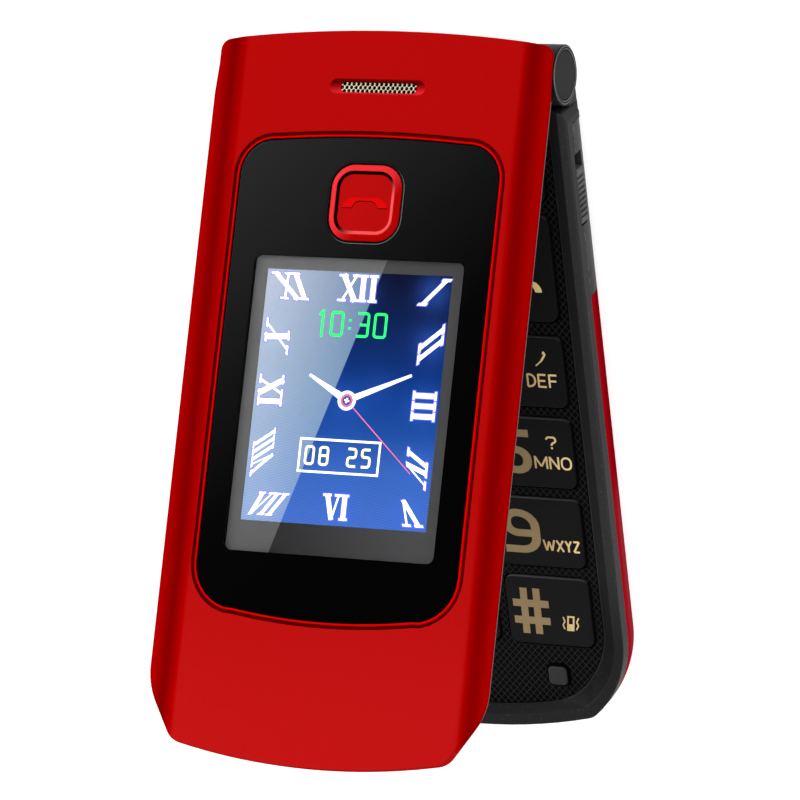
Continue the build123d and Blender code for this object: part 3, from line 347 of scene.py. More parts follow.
def chained(bands):
    """Bands of (finish, points), each but the first begun with the last point of the one before."""
    last = []
    for finish, points in bands:
        yield finish, last + points
        last = points[-1:]


def raised(loop, height):
    """Flat points given a height, which is one number or one for each point."""
    return np.column_stack((loop, np.broadcast_to(height, len(loop))))


def inside(points, loop):
    """Which points lie inside a closed outline: an odd number of its sides cross the ray to the right."""
    x, v = points[:, :1], points[:, 1:]
    (xa, va), (xb, vb) = loop.T, np.roll(loop, -1, 0).T
    spans = (va > v) != (vb > v)
    rise = np.where(vb == va, 1e-12, vb - va)
    return (spans & (x < xa + (v - va) / rise * (xb - xa))).sum(1) % 2 == 1


def tiled(loops, lines=()):
    """Points and triangles of the flat between an outline and its holes, with lines kept as edges."""
    paths = [np.asarray(p, float) for p in (*loops, *lines)]
    edges, start = [], 0
    for i, path in enumerate(paths):
        index = np.arange(len(path)) + start
        pairs = np.stack((index, np.roll(index, -1)), 1)
        edges += pairs.tolist() if i < len(loops) else pairs[:-1].tolist()
        start += len(path)
    made = delaunay_2d_cdt(np.concatenate(paths).tolist(), edges, [], 0, 1e-6)
    points = np.array([tuple(p) for p in made[0]])
    triangles = np.array(made[2])
    middle = points[triangles].mean(1)
    keep = inside(middle, paths[0])
    for hole in paths[1:len(loops)]:
        keep &= ~inside(middle, hole)
    return points, triangles[keep]


def strip(path, width, closed=False):
    """A flat strip along a path as quads: each point moves half the width to both sides, along the
    mitre of its two neighbouring ways."""
    path = np.asarray(path, float)
    ahead = np.roll(path, -1, 0) - path
    if not closed:
        ahead[-1] = ahead[-2]
    ahead /= np.maximum(np.linalg.norm(ahead, axis=1, keepdims=True), 1e-9)
    behind = np.roll(ahead, 1, 0)
    if not closed:
        behind[0] = ahead[0]
    mean = ahead + behind
    mean /= np.linalg.norm(mean, axis=1, keepdims=True)
    mitre = np.maximum((mean * ahead).sum(1, keepdims=True), 0.5)
    side = np.stack((mean[:, 1], -mean[:, 0]), 1) * np.broadcast_to(width, len(path))[:, None] / 2 / mitre
    left, right = path - side, path + side
    quads = np.stack((left, np.roll(left, -1, 0), np.roll(right, -1, 0), right), 1)
    return quads if closed else quads[:-1]


def joined(quads):
    """Points and triangles of the union of convex quads: constrained Delaunay triangles whose middle
    lies on the same side of all four sides of a quad."""
    quads = np.asarray(quads, float)
    sides = np.array([[0, 1], [1, 2], [2, 3], [3, 0]])
    edges = (np.arange(len(quads))[:, None, None] * 4 + sides).reshape(-1, 2)
    made = delaunay_2d_cdt(quads.reshape(-1, 2).tolist(), edges.tolist(), [], 0, 1e-5)
    points, triangles = np.array([tuple(p) for p in made[0]]), np.array(made[2])
    middle = points[triangles].mean(1)[:, None, None]
    way = np.roll(quads, -1, 1) - quads
    off = middle - quads
    turn = way[..., 0] * off[..., 1] - way[..., 1] * off[..., 0]
    keep = ((turn > 0).all(2) | (turn < 0).all(2)).any(1)
    return points, triangles[keep]


def thin(shell, points, triangles, level, thick, finish):
    """A flat shape as a thin closed solid: its triangles twice, and a wall along every side that only
    one triangle has."""
    sides = np.concatenate((triangles[:, [0, 1]], triangles[:, [1, 2]], triangles[:, [2, 0]]))
    n = len(points)
    _, first, count = np.unique(np.sort(sides, 1) @ (n, 1), return_index=True, return_counts=True)
    rim = sides[first[count == 1]]
    rows = np.concatenate((raised(points, level), raised(points, level + thick)))
    shell.add(rows, triangles, finish)
    walls = np.column_stack((rim, rim[:, ::-1] + n))
    shell.more(triangles[:, ::-1] + n, 2 * n, finish).more(walls, 2 * n, finish)


def inked(shell, quads, level, finish, thick=0.02):
    """Strokes printed as one thin shape."""
    thin(shell, *joined(np.concatenate(quads)), level, thick, finish)


def plated(shell, loops, low, high, finish):
    """A plate in an outline with holes, the holes free to run past its edge."""
    points, triangles = tiled(loops)
    thin(shell, points, triangles, low, high - low, finish)


# ---------------------------------------------------------------- pieces
def made_piece(name, shell, place, finishes, body, nodes, sharp=32.0, shade=None):
    """A shell as a finished piece: welded, faces outward, smooth but for its sharp edges, with the
    plan (x, v) in decimetres as its UV map."""
    rows = np.concatenate(shell.rows)
    mesh = bpy.data.meshes.new(name)
    mesh.from_pydata(place(rows).tolist(), [], shell.faces)
    corner = np.zeros(len(mesh.loops), np.int32)
    mesh.loops.foreach_get("vertex_index", corner)
    mesh.uv_layers.new(name="plan").data.foreach_set("uv", (rows[corner, :2] / 100).ravel())
    mesh.polygons.foreach_set("material_index", np.concatenate(shell.finish).astype(np.int32))
    if shade is not None:
        layer = mesh.attributes.new("glow", "FLOAT", "POINT")
        layer.data.foreach_set("value", shade(rows).astype(np.float32))
    for finish in finishes:
        mesh.materials.append(finish)
    work = bmesh.new()
    work.from_mesh(mesh)
    bmesh.ops.remove_doubles(work, verts=work.verts, dist=1e-6)
    bmesh.ops.recalc_face_normals(work, faces=work.faces)
    work.to_mesh(mesh)
    work.free()
    mesh.polygons.foreach_set("use_smooth", np.ones(len(mesh.polygons), bool))
    mesh.normals_split_custom_set(corner_normals(mesh, radians(sharp)).tolist())
    made = bpy.data.objects.new(name, mesh)
    bpy.context.scene.collection.objects.link(made)
    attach(made, body)
    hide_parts(*nodes)
    return made


def corner_normals(mesh, sharp):
    """A normal for each corner of each face: the sum of the normals of the faces round that vertex
    that turn less than the sharp angle from its own face, each weighed by its area. So a flat stays
    flat up to its rounded edge."""
    loops, count = len(mesh.loops), len(mesh.polygons)
    vertex, total = np.zeros(loops, np.int32), np.zeros(count, np.int32)
    normal, area = np.zeros(count * 3), np.zeros(count)
    mesh.loops.foreach_get("vertex_index", vertex)
    mesh.polygons.foreach_get("loop_total", total)
    mesh.polygons.foreach_get("normal", normal)
    mesh.polygons.foreach_get("area", area)
    face = np.repeat(np.arange(count), total)
    normal = normal.reshape(-1, 3)[face]
    weight = normal * (area[face, None] * 1e9 + 1e-9)
    order = np.argsort(vertex, kind="stable")
    shared = np.bincount(vertex)
    first = np.concatenate(([0], np.cumsum(shared)[:-1]))
    near = shared[vertex]
    one = np.repeat(np.arange(loops), near)
    step = np.arange(near.sum()) - np.repeat(np.cumsum(near) - near, near)
    other = order[np.repeat(first[vertex], near) + step]
    keep = (normal[one] * normal[other]).sum(1) > cos(sharp)
    mean = np.stack([np.bincount(one[keep], weight[other[keep], i], loops) for i in range(3)], 1)
    return mean / np.maximum(np.linalg.norm(mean, axis=1, keepdims=True), 1e-12)


# ---------------------------------------------------------------- finishes
class Paint:
    """A node material in the making, on a Principled shader."""

    def __init__(self, name):
        self.material = bpy.data.materials.new(name)
        self.material.use_nodes = True
        self.tree = self.material.node_tree
        self.shader = self.tree.nodes["Principled BSDF"]
        self.spot = self.add("TexCoord").outputs["Object"]

    def add(self, kind, inputs=None, **settings):
        node = self.tree.nodes.new("ShaderNode" + kind)
        for key, value in settings.items():
            setattr(node, key, value)
        for key, value in (inputs or {}).items():
            self.put(node.inputs[key], value)
        return node

    def put(self, socket, value):
        if isinstance(value, NodeSocket):
            self.tree.links.new(value, socket)
        elif hasattr(value, "__len__") and len(value) == 3 and socket.type == "RGBA":
            socket.default_value = (*value, 1.0)
        else:
            socket.default_value = value

    def set(self, **values):
        """Sets or links the shader's own inputs; an underscore stands for a space."""
        for key, value in values.items():
            self.put(self.shader.inputs[key.replace("_", " ")], value)
        return self

    def math(self, operation, a, b=0.0, clamp=False):
        return self.add("Math", {0: a, 1: b}, operation=operation, use_clamp=clamp).outputs[0]

    def mix(self, factor, a, b, blend="MIX"):
        return self.add("Mix", {0: factor, 6: a, 7: b}, data_type="RGBA", blend_type=blend).outputs[2]

    def span(self, value, low, high, to_low=0.0, to_high=1.0, smooth=False):
        """A value from one range brought to another, held at its ends."""
        kind = "SMOOTHSTEP" if smooth else "LINEAR"
        return self.add("MapRange", {0: value, 1: low, 2: high, 3: to_low, 4: to_high},
                        interpolation_type=kind).outputs[0]

    def ramp(self, value, stops):
        node = self.add("ValToRGB", {0: value})
        marks = node.color_ramp.elements
        while len(marks) < len(stops):
            marks.new(0.5)
        for mark, (place, shade) in zip(marks, stops):
            mark.position = place
            mark.color = (*shade, 1.0)
        return node.outputs[0]

    def noise(self, scale, detail=2.0):
        return self.add("TexNoise", {"Vector": self.spot, "Scale": scale, "Detail": detail}).outputs[0]

    def xyz(self, vector):
        return self.add("SeparateXYZ", {0: vector}).outputs

    def plan(self):
        """The piece's own (x, v), in decimetres."""
        return self.xyz(self.add("UVMap", uv_map="plan").outputs[0])[:2]

    def from_axis(self):
        """The place measured from the hinge axis."""
        return self.add("VectorMath", {0: self.spot, 1: tuple(AXIS)}, operation="SUBTRACT").outputs[0]

    def facing(self, axis):
        """How far the surface faces along an axis, by its number."""
        return self.xyz(self.add("TexCoord").outputs["Normal"])[axis]

    def scaled(self, shade, tone):
        """A colour times a number."""
        plain = self.add("CombineColor", {0: tone, 1: tone, 2: tone}).outputs[0]
        return self.mix(1.0, shade, plain, "MULTIPLY")

    def drift(self, noise, low, high):
        """A colour between two, by a noise."""
        return self.mix(self.span(noise, 0.3, 0.7), low, high)

    def specked(self, noise, amount, shade, other):
        """A colour with a little of another in it, by a noise."""
        return self.mix(self.span(noise, 0.3, 0.7, 0.0, amount), shade, other)

    def bump(self, height, distance, strength=1.0):
        made = self.add("Bump", {"Height": height, "Distance": distance, "Strength": strength})
        return self.set(Normal=made.outputs[0])

    def done(self, shade, noise, rough, gloss, relief, depth=0.6, **more):
        """The finished material: one noise makes the roughness, between two values, and the relief."""
        self.set(Base_Color=shade, Roughness=self.span(noise, 0.3, 0.7, *rough), Specular_IOR_Level=gloss,
                 **more)
        return self.bump(noise, relief, depth).material


RED_GLOSS = {"Metallic": 0.06, "Specular_Tint": (1.0, 0.0, 0.0)}


def moulded(name, shade, rough=0.42, gloss=0.25, vary=0.10, grain=5200.0, **more):
    """Moulded or metal finish: the colour drifts in broad clouds and fine specks, the same specks
    make the roughness and a light relief."""
    made = Paint(name)
    cloud = made.span(made.noise(180.0, 3.0), 0.3, 0.7, 1 - vary, 1 + vary)
    speck = made.noise(grain)
    tone = made.math("MULTIPLY", cloud, made.span(speck, 0.3, 0.7, 1 - vary / 2, 1 + vary / 2))
    made.set(Base_Color=made.scaled(shade, tone), Specular_IOR_Level=gloss,
             Roughness=made.span(speck, 0.25, 0.75, rough * 0.88, min(rough * 1.12, 1.0)), **more)
    return made.bump(speck, 0.000006, 0.6).material


# Painted shade across the hollow along each side of the lid cover: the share of the red kept at each place
# across it.
COVE_SHADE_LEFT = [(0.0, 1.0), (0.09, 0.886), (0.18, 0.735), (0.264, 0.58), (0.35, 0.46), (0.43, 0.39),
               (0.54, 0.44), (0.70, 0.575), (0.87, 0.77), (1.0, 0.91)]
COVE_SHADE_RIGHT = [(0.0, 1.0), (0.13, 1.0), (0.22, 0.866), (0.305, 0.687), (0.39, 0.54), (0.50, 0.525),
                (0.57, 0.56), (0.66, 0.66), (0.82, 0.83), (1.0, 0.93)]


def only_red(stops):
    """The stops of a ramp, in which green and blue fall away at once."""
    return [(place, (level, level * (level > 0.99), level * (level > 0.99))) for place, level in stops]


def lacquer(name, near, far):
    """Red lacquer with painted light and shade: painted shade deepens it in the hollow along each
    side, by the distance from the middle, the right band of painted shade narrowing toward the free
    end, and a painted sheen makes it lighter and whiter toward the free end."""
    made = Paint(name)
    across, along = made.plan()
    # Painted sheen: a lighter, whiter red toward the free end.
    body = made.mix(made.span(along, 0.6, 1.1, smooth=True), near, far)
    left = made.ramp(made.span(across, -0.231, -0.289), only_red(COVE_SHADE_LEFT))
    start = made.span(along, 0.15, 0.95, 0.231, 0.2395)
    part = made.math("DIVIDE", made.math("SUBTRACT", across, start), 0.058, True)
    right = made.ramp(part, only_red(COVE_SHADE_RIGHT))
    shade = made.mix(1.0, made.mix(1.0, body, left, "MULTIPLY"), right, "MULTIPLY")
    fine = made.noise(7000.0)
    shade = made.mix(made.span(fine, 0.35, 0.65, 0.0, 0.03), shade, (0.75, 0.0, 0.0))
    made.set(Base_Color=shade, Roughness=made.span(fine, 0.3, 0.7, 0.38, 0.46), Specular_IOR_Level=0.0,
             **RED_GLOSS)
    return made.bump(made.noise(2600.0, 1.0), 0.000004, 0.4).material


def tinted(name, shade):
    """Lacquer whose gloss keeps its own colour."""
    return moulded(name, shade, 0.4, 0.0, 0.05, **RED_GLOSS)


def key_black():
    """Smooth black, with a painted highlight on the rounded edge that faces the hinge."""
    made = Paint("key_black")
    fine = made.noise(5200.0)
    # Painted highlight on the rounded edge that faces the hinge.
    lit = made.span(made.facing(1), 0.45, 0.85, smooth=True)
    return made.done(made.mix(lit, made.drift(fine, grey(30), grey(37)), grey(92)), fine, (0.3, 0.38), 0.08,
                     0.000002, 0.5)


def bright_print(shade):
    """Gold print of the small letters, with a painted highlight that brightens it toward the right of every
    key, and a faint painted glow.
    """
    made = Paint("gold_letters")
    columns = made.math("DIVIDE", made.xyz(made.spot)[0], SIDE_X * MM)
    place = made.math("FRACT", made.math("ADD", columns, 5.0))
    speck = made.noise(5200.0)
    # Painted highlight: brighter toward the right of every key.
    tone = made.mix(made.span(place, 0.02, 0.42), linear((176, 148, 104)), shade)
    tone = made.specked(speck, 0.12, tone, linear((150, 124, 84)))
    # The emission is a painted glow.
    return made.done(tone, speck, (0.38, 0.46), 0.1, 0.000004, Emission_Color=tone, Emission_Strength=0.42)


def flecks(made, shade, amount):
    """Light flecks scattered over a colour, in sparse clumps."""
    speck = made.span(made.noise(2300.0, 1.0), 0.70, 0.76, 0.0, amount)
    return made.mix(speck, shade, linear((150, 150, 150)))


def base_black():
    """Satin black of the base, with painted light and shade: lighter on the land, the outer wall and a
    painted highlight along the lip than on the slope between them, darkened by painted shade on the
    top toward the free end and on the side toward the hinge, near black on the round of the hinge, with a
    few light flecks."""
    made = Paint("base_black")
    _, y, z = made.xyz(made.from_axis())
    land, wall = made.span(z, 0.00235, 0.00262), made.span(made.facing(2), 0.3, 0.6, 1.0, 0.0)
    fine = made.noise(5200.0)
    # Painted highlight: a light line along the lip of the slope.
    lip = made.span(z, -0.0002, 0.0, 1.0, 0.0, True)
    slope = made.mix(lip, made.drift(fine, grey(38), grey(46)), grey(70))
    top = made.mix(land, slope, made.drift(fine, grey(58), grey(70)))
    # Painted shade: the top darker toward the free end.
    top = made.scaled(top, made.span(y, -0.098, -0.08, 0.48, 1.0, True))
    # Painted shade: the side darker toward the hinge.
    side = made.mix(made.span(y, -0.072, -0.058, 1.0, 0.0, True), grey(34), grey(46))
    reach = made.math("SQRT", made.math("ADD", made.math("MULTIPLY", y, y), made.math("MULTIPLY", z, z)))
    barrel = made.span(reach, 0.0049, 0.0052, 1.0, 0.0)
    shade = made.mix(barrel, made.mix(wall, top, side), linear((26, 27, 28)))
    return made.done(flecks(made, shade, 0.18), fine, (0.44, 0.52), 0.1, 0.000008)


def rear_grey():
    """Satin grey of the rear housing, darkened by painted shade along the middle of its length,
    with a broken painted highlight along the parting.
    """
    made = Paint("rear_grey")
    _, y, z = made.xyz(made.from_axis())
    fine = made.noise(5200.0)
    # Painted shade: darker along the middle of the housing's length.
    near = made.math("MAXIMUM", made.span(y, -0.072, -0.058, 1.0, 0.55, True),
                     made.span(y, -0.036, -0.03, 0.0, 1.0, True))
    field = made.scaled(made.drift(fine, grey(48), grey(60)), near)
    # A broken painted highlight along the parting.
    edge = made.math("MULTIPLY", made.span(z, 0.00005, 0.0002), made.span(made.noise(900.0, 3.0), 0.46, 0.56))
    shade = flecks(made, made.mix(edge, field, linear((130, 130, 130))), 0.2)
    return made.done(shade, fine, (0.46, 0.54), 0.1, 0.000008)


def crimson_cover(shade):
    """Dark red lacquer, deeper toward the hinge and with a painted pinkish sheen toward the free end,
    with a clear red edge at the parting."""
    made = Paint("crimson_lacquer")
    _, y, z = made.xyz(made.from_axis())
    fine = made.noise(3000.0)
    # Painted sheen: pinker and greyer toward the free end.
    far_sheen = made.mix(made.span(y, -0.076, -0.066, 1.0, 0.0, True), shade, linear((184, 52, 66)))
    tone = made.mix(made.span(z, -0.0016, -0.0006, 0.0, 0.85), far_sheen, linear((196, 6, 22)))
    tone = made.specked(fine, 0.08, tone, linear((96, 2, 14)))
    return made.done(tone, fine, (0.36, 0.44), 0.0, 0.000004, 0.5, **RED_GLOSS)


def finish_set(colours):
    """The finishes that several pieces share."""
    return {
        "housing": base_black(), "rear": rear_grey(),
        "cap": moulded("cap_black", grey(33), 0.5, 0.05, 0.2),
        "ribs": moulded("rib_grey", grey(98), 0.5, 0.12, 0.2),
        "key": key_black(),
        "legend": moulded("gold_print", linear((178, 152, 112)), 0.42, 0.1, 0.08),
        "letters": bright_print(tuple(colours.legend)),
        "black": moulded("gap_black", grey(6), 0.7, 0.05),
        "crimson": crimson_cover(tuple(colours.cover)),
        "steel": moulded("ground_steel", linear((176, 178, 182)), 0.28, 0.5, 0.06, Metallic=1.0),
        "rubber": moulded("soft_grey", grey(64), 0.65, 0.12),
    }


# ---------------------------------------------------------------- operators
class Maker:
    """What the operators share: the settings at hand, and the finishes, made once."""
    shared = {}

    @property
    def finishes(self):
        if not Maker.shared:
            Maker.shared.update(finish_set(bpy.context.scene.flip_phone.colours))
        return Maker.shared

    @property
    def settings(self):
        return bpy.context.scene.flip_phone

    def sizes(self, *groups):
        """The lengths of each group by name, in millimetres, and then the points along a corner."""
        return (*(in_mm(getattr(self.settings, group)) for group in groups), self.settings.smooth)


def lid_outline(s, steps):
    """The lid seen flat: trimmed beside the hinge, slanted and rounded at its free end."""
    half, tip = s["half"], s["tip"]
    corners = [(half - 0.32, -s["back"] + 1.8), (half - 0.32, 0.5), (half, 5.5), (half, tip - 10.8),
               (half - 5.5, tip - 2.5)]
    return outline(-s["back"], corners, [1.8, 8.0, 8.0, 10.0, 3.6], tip, steps, 10)


def glass_outline(s, steps):
    """The outer glass seen flat: both ends bow out."""
    half = s["glass_half"]
    corners = [(half, s["glass_start"] + 1.25), (half, s["glass_end"] - 2.4)]
    return outline(s["glass_start"], corners, [5.5, 7.0], s["glass_end"], steps, 12)


def square_about(button, gain, steps):
    """A square with round corners about the button, larger than it by a gain."""
    size = button["width"] + gain
    return rounded(size, size, button["corner"] + gain / 2, 0, button["middle"], steps)


def cover_height(s):
    """Height of the cover over (x, v): flat in the middle, then a cove that is steepest half way,
    a cubic with the slopes 0.12 and 0.08 at its ends."""
    width = s["cove"]
    first, last = -0.12 * width, -0.08 * width

    def height(points):
        t = np.clip((np.abs(points[:, 0]) - s["half"] + width) / width, 0, 1)
        return ((2 * t ** 3 - 3 * t ** 2 + 1) * s["top"] + (t ** 3 - 2 * t ** 2 + t) * first
                + (-2 * t ** 3 + 3 * t ** 2) * s["brim"] + (t ** 3 - t ** 2) * last)
    return height


def bowl_red():
    """Red of the bowl round the mesh: painted shade on its side near the hinge, a painted highlight on the
    far side.
    """
    made = Paint("bowl_red")
    _, along = made.plan()
    fine = made.noise(3000.0)
    # Painted shade near the hinge, painted highlight on the far side.
    tone = made.ramp(made.span(along, 0.0272, 0.0528), screen(
        (0.0, (150, 4, 8)), (0.2, (96, 0, 6)), (0.5, (190, 14, 20)), (0.82, (236, 40, 48)),
        (1.0, (206, 16, 22))))
    tone = made.specked(fine, 0.05, tone, linear((120, 0, 4)))
    made.set(Base_Color=tone, Roughness=0.4, Specular_IOR_Level=0.0, **RED_GLOSS)
    return made.bump(fine, 0.000004, 0.4).material


class PHONE_OT_lid_cover(Operator, Maker):
    """Builds the red cover of the lid"""
    bl_idname = "phone.lid_cover"
    bl_label = "Lid Cover"

    def execute(self, context):
        s, button, steps = self.sizes("lid", "button")
        edge, glass = lid_outline(s, steps), glass_outline(s, steps)
        mouth, ledge, slot = (rounded(wide, tall, corner, 0, MESH_V, steps) for wide, tall, corner in
                              ((16.4, 2.5, 1.24), (13.1, 1.6, 0.79), (12.4, 1.15, 0.5)))
        window, shaft = rounded(36.4, 47.0, 1.0, 0, DISPLAY_V, steps), square_about(button, 1.0, steps)
        shell = Shell()
        foot = self.outside(shell, s, edge, glass, mouth)
        floor = self.round_glass(shell, s, glass, [window, shaft])
        for hole in (window, shaft):
            shell.wall(hole, floor, s["seam"], 3)
        self.bowl(shell, s, mouth, ledge, slot)
        shell.fill([foot, window, shaft, slot], s["seam"], 3)
        colours = self.settings.colours
        # bead_red is a painted highlight, groove_red painted shade, bowl_red painted shade and highlight.
        finishes = [lacquer("red_lacquer", tuple(colours.lacquer), tuple(colours.lacquer_low)),
                    tinted("bead_red", tuple(colours.bead)), tinted("groove_red", tuple(colours.groove)),
                    self.finishes["black"], bowl_red()]
        made_piece("cover_shell", shell, on_lid, finishes, "lid", ["lid_cover"], 24.0)
        return {"FINISHED"}

    def outside(self, shell, s, edge, glass, mouth):
        """The upper face up to its openings, its rounded edge and its side; gives the lower outline."""
        height, round_by = cover_height(s), 0.28
        rim, foot = grown(edge, -round_by), grown(edge, -0.08)
        columns = s["half"] - s["cove"] + s["cove"] * np.linspace(0, 0.93, 12)
        lines = []
        for x in (*columns, *-columns):
            low, high = crossings(rim, x)
            lines.append(np.column_stack((np.full(30, x), np.linspace(low + 0.02, high - 0.02, 30))))
        groove_out = POCKET + s["bead"] + s["groove"]
        shell.fill([rim, grown(glass, groove_out + 0.12), grown(mouth, 0.1)], height, 0, lines)
        level = height(rim)
        rings = [raised(grown(edge, -round_by * (1 - sin(t))), level - round_by * (1 - cos(t)))
                 for t in quarter()]
        shell.skin([*rings, raised(edge, s["seam"] + 0.08), raised(foot, s["seam"])])
        return foot

    def round_glass(self, shell, s, glass, holes):
        """The groove, the bead and the pocket that holds the glass; gives the height of its floor."""
        top, deep, floor = s["top"], s["top"] - s["groove_deep"], s["glass_top"] - s["glass_thick"]
        bead_out = POCKET + s["bead"]
        groove_out = bead_out + s["groove"]
        middle, reach = bead_out - 0.17, 0.15
        bead = [(middle + reach * cos(t), top - 0.16 + 0.17 * sin(t)) for t in np.linspace(0, pi, 9)]
        lip = [(groove_out + 0.12, top), (groove_out + 0.03, top - 0.04), (groove_out, top - 0.12)]
        # The groove takes the painted-shade red, the bead the painted-highlight red.
        shell.banded(glass, (0, lip), (2, [(groove_out - 0.05, deep), (bead_out + 0.02, deep)]), (1, bead),
                     (3, [(POCKET + 0.08, top - 0.3), (POCKET, top - 0.34), (POCKET, floor)]))
        shell.fill([grown(glass, POCKET), *holes], floor, 3)
        return floor

    def bowl(self, shell, s, mouth, ledge, slot):
        """The shallow bowl that leads down to the mesh, and the slot under it."""
        top, lip = s["top"], s["top"] - 0.07
        bed = top - BED_DROP
        shell.swept(mouth, [(0.1, top), (0.03, top - 0.02), (-0.03, lip)])
        near = grown(mouth, -0.03)
        share = np.linspace(0, 1, 8)
        sink = lip - (lip - bed) * np.sin(share * RIGHT_ANGLE) ** 0.8
        shell.skin([raised(near + (ledge - near) * part, level) for part, level in zip(share, sink)], 4)
        shell.wall(ledge, bed, bed - BED_THICK, 3).fill([ledge, slot], bed - BED_THICK, 3)
        shell.wall(slot, bed - BED_THICK, s["seam"], 3)


def crossings(loop, x):
    """The lowest and highest v at which an outline crosses a line of constant x."""
    ahead = np.roll(loop, -1, 0)
    spans = (loop[:, 0] > x) != (ahead[:, 0] > x)
    a, b = loop[spans], ahead[spans]
    v = a[:, 1] + (x - a[:, 0]) / (b[:, 0] - a[:, 0]) * (b[:, 1] - a[:, 1])
    return v.min(), v.max()


def black_glass():
    """Back-printed glass: near black, with a painted reflection that lightens it towards one corner."""
    made = Paint("printed_glass")
    across, along = made.plan()
    reflection_sweep = made.math("SUBTRACT", made.math("MULTIPLY", along, -1.0), made.math("MULTIPLY", across, 0.9))
    shade = made.ramp(made.span(reflection_sweep, -0.75, 0.05), screen(
        (0.0, (0, 0, 0)), (0.25, (3, 3, 4)), (0.5, (18, 18, 18)), (1.0, (42, 42, 42))))
    dust = made.noise(9000.0)
    shade = made.mix(made.span(dust, 0.55, 0.8, 0.0, 0.03), shade, linear((60, 60, 62)))
    rough = made.span(dust, 0.3, 0.8, 0.08, 0.14)
    return made.set(Base_Color=shade, Roughness=rough, Specular_IOR_Level=0.05).material


def clear_window():
    """Clear glass over the display, with a faint tint."""
    made = Paint("clear_window")
    smear = made.noise(700.0)
    shade = made.drift(smear, (0.97, 0.97, 0.98), (1.0, 1.0, 1.0))
    return made.set(Base_Color=shade, Roughness=made.span(smear, 0.3, 0.8, 0.0, 0.03), IOR=1.2,
                    Transmission_Weight=1.0, Specular_IOR_Level=0.0).material


class PHONE_OT_outer_glass(Operator, Maker):
    """Builds the printed glass of the lid with its clear window"""
    bl_idname = "phone.outer_glass"
    bl_label = "Outer Glass"

    def execute(self, context):
        s, button, d, steps = self.sizes("lid", "button", "display")
        glass, shaft = glass_outline(s, steps), square_about(button, 1.0, steps)
        top, low = s["glass_top"], s["glass_top"] - s["glass_thick"]
        clear = rounded(35.98, DISPLAY_TALL, d["border"], -0.08, DISPLAY_V, steps)
        shell = Shell()
        shell.fill([grown(glass, -0.18), clear, grown(shaft, 0.1)], top).fill([clear], top, 1)
        shell.swept(glass, [(-0.18, top), (-0.07, top - 0.04), (-0.01, top - 0.13), (0.0, top - 0.2),
                            (0.0, low)])
        shell.swept(shaft, [(0.1, top), (0.0, top - 0.1), (0.0, low)])
        shell.fill([glass, clear, shaft], low).fill([clear], low, 1)
        made_piece("window_glass", shell, on_lid, [black_glass(), clear_window()], "lid",
                   ["outer_glass"])
        return {"FINISHED"}


# ---------------------------------------------------------------- the clock face
ROMAN = {"I": (1.75, [((0, 0.5), (0, -0.5), 1)], [0.0], [0.0]),
         "V": (2.7, [((-1.05, 0.5), (0.05, -0.5), 1), ((1.1, 0.5), (0.05, -0.5), 0)], [-1.05, 1.1], []),
         "X": (2.9, [((-1.15, 0.5), (1.15, -0.5), 1), ((1.15, 0.5), (-1.15, -0.5), 0)],
               [-1.15, 1.15], [-1.15, 1.15])}
DIAL = [("XII", 0.3, 17.3, (1, 0), (0, 1)), ("I", 13.1, 17.2, (1, 0), (0.95, 1)),
        ("II", 13.4, 9.1, (0, -1), (0.95, 0.8)), ("III", 13.3, -0.5, (0, -0.92), (0.94, 0)),
        ("IV", 13.2, -9.9, (0, -0.88), (0.86, -0.56)), ("V", 12.6, -17.1, (-0.95, 0), (0.5, -0.95)),
        ("VI", 0.4, -16.9, (0.92, 0), (0, 0.94)), ("VII", -11.6, -17.1, (0.8, 0), (0.66, 0.86)),
        ("VIII", -13.3, -8.9, (0, 0.66), (-0.86, -0.6)), ("IX", -13.1, 0.4, (0, 1), (-1, 0)),
        ("X", -13.0, 9.2, (0, 1), (-1, 0.5)), ("XI", -11.4, 17.2, (1, 0), (-0.5, 1))]
DIGITS = {
    "0": [[(-1, 1), (1, 1), (1, -1), (-1, -1)]],
    "1": [[(-0.5, 0.72), (0.3, 1.08)], [(0.2, 1.2), (0.2, -1.2)]],
    "2": [[(-1, 1), (1, 1), (1, 0), (-1, 0), (-1, -1), (1.1, -1)]],
    "3": [[(-1, 1), (1, 1), (1, -1), (-1, -1)], [(-0.5, 0), (1, 0)]],
    "4": [[(-0.9, 1.2), (-0.9, -0.25), (1.2, -0.25)], [(0.6, 1.2), (0.6, -1.2)]],
    "5": [[(1, 1), (-1, 1), (-1, 0.12), (1, 0.12), (1, -1), (-1, -1)]],
    "6": [[(-1, 0.1), (1, 0.1), (1, -1), (-1, -1), (-1, 1), (1.24, 1)]],
    "7": [[(-1.1, 1), (1.15, 1)], [(0.95, 1.1), (-0.3, -1.2)]],
    "8": [[(-1, 1), (1, 1), (1, -1), (-1, -1)], [(-1, 0.04), (1, 0.04)]],
    "9": [[(1, -0.1), (-1, -0.1), (-1, 1), (1, 1), (1, -1), (-1.24, -1)]],
    ":": [[(0, 0.45), (0, 0.25)], [(0, -0.25), (0, -0.45)]],
}
RINGS = {"0": {0}, "8": {0}}
ROUNDER = dict.fromkeys("69", (1, 1, 0.9, 1.5, 1.2, 1))
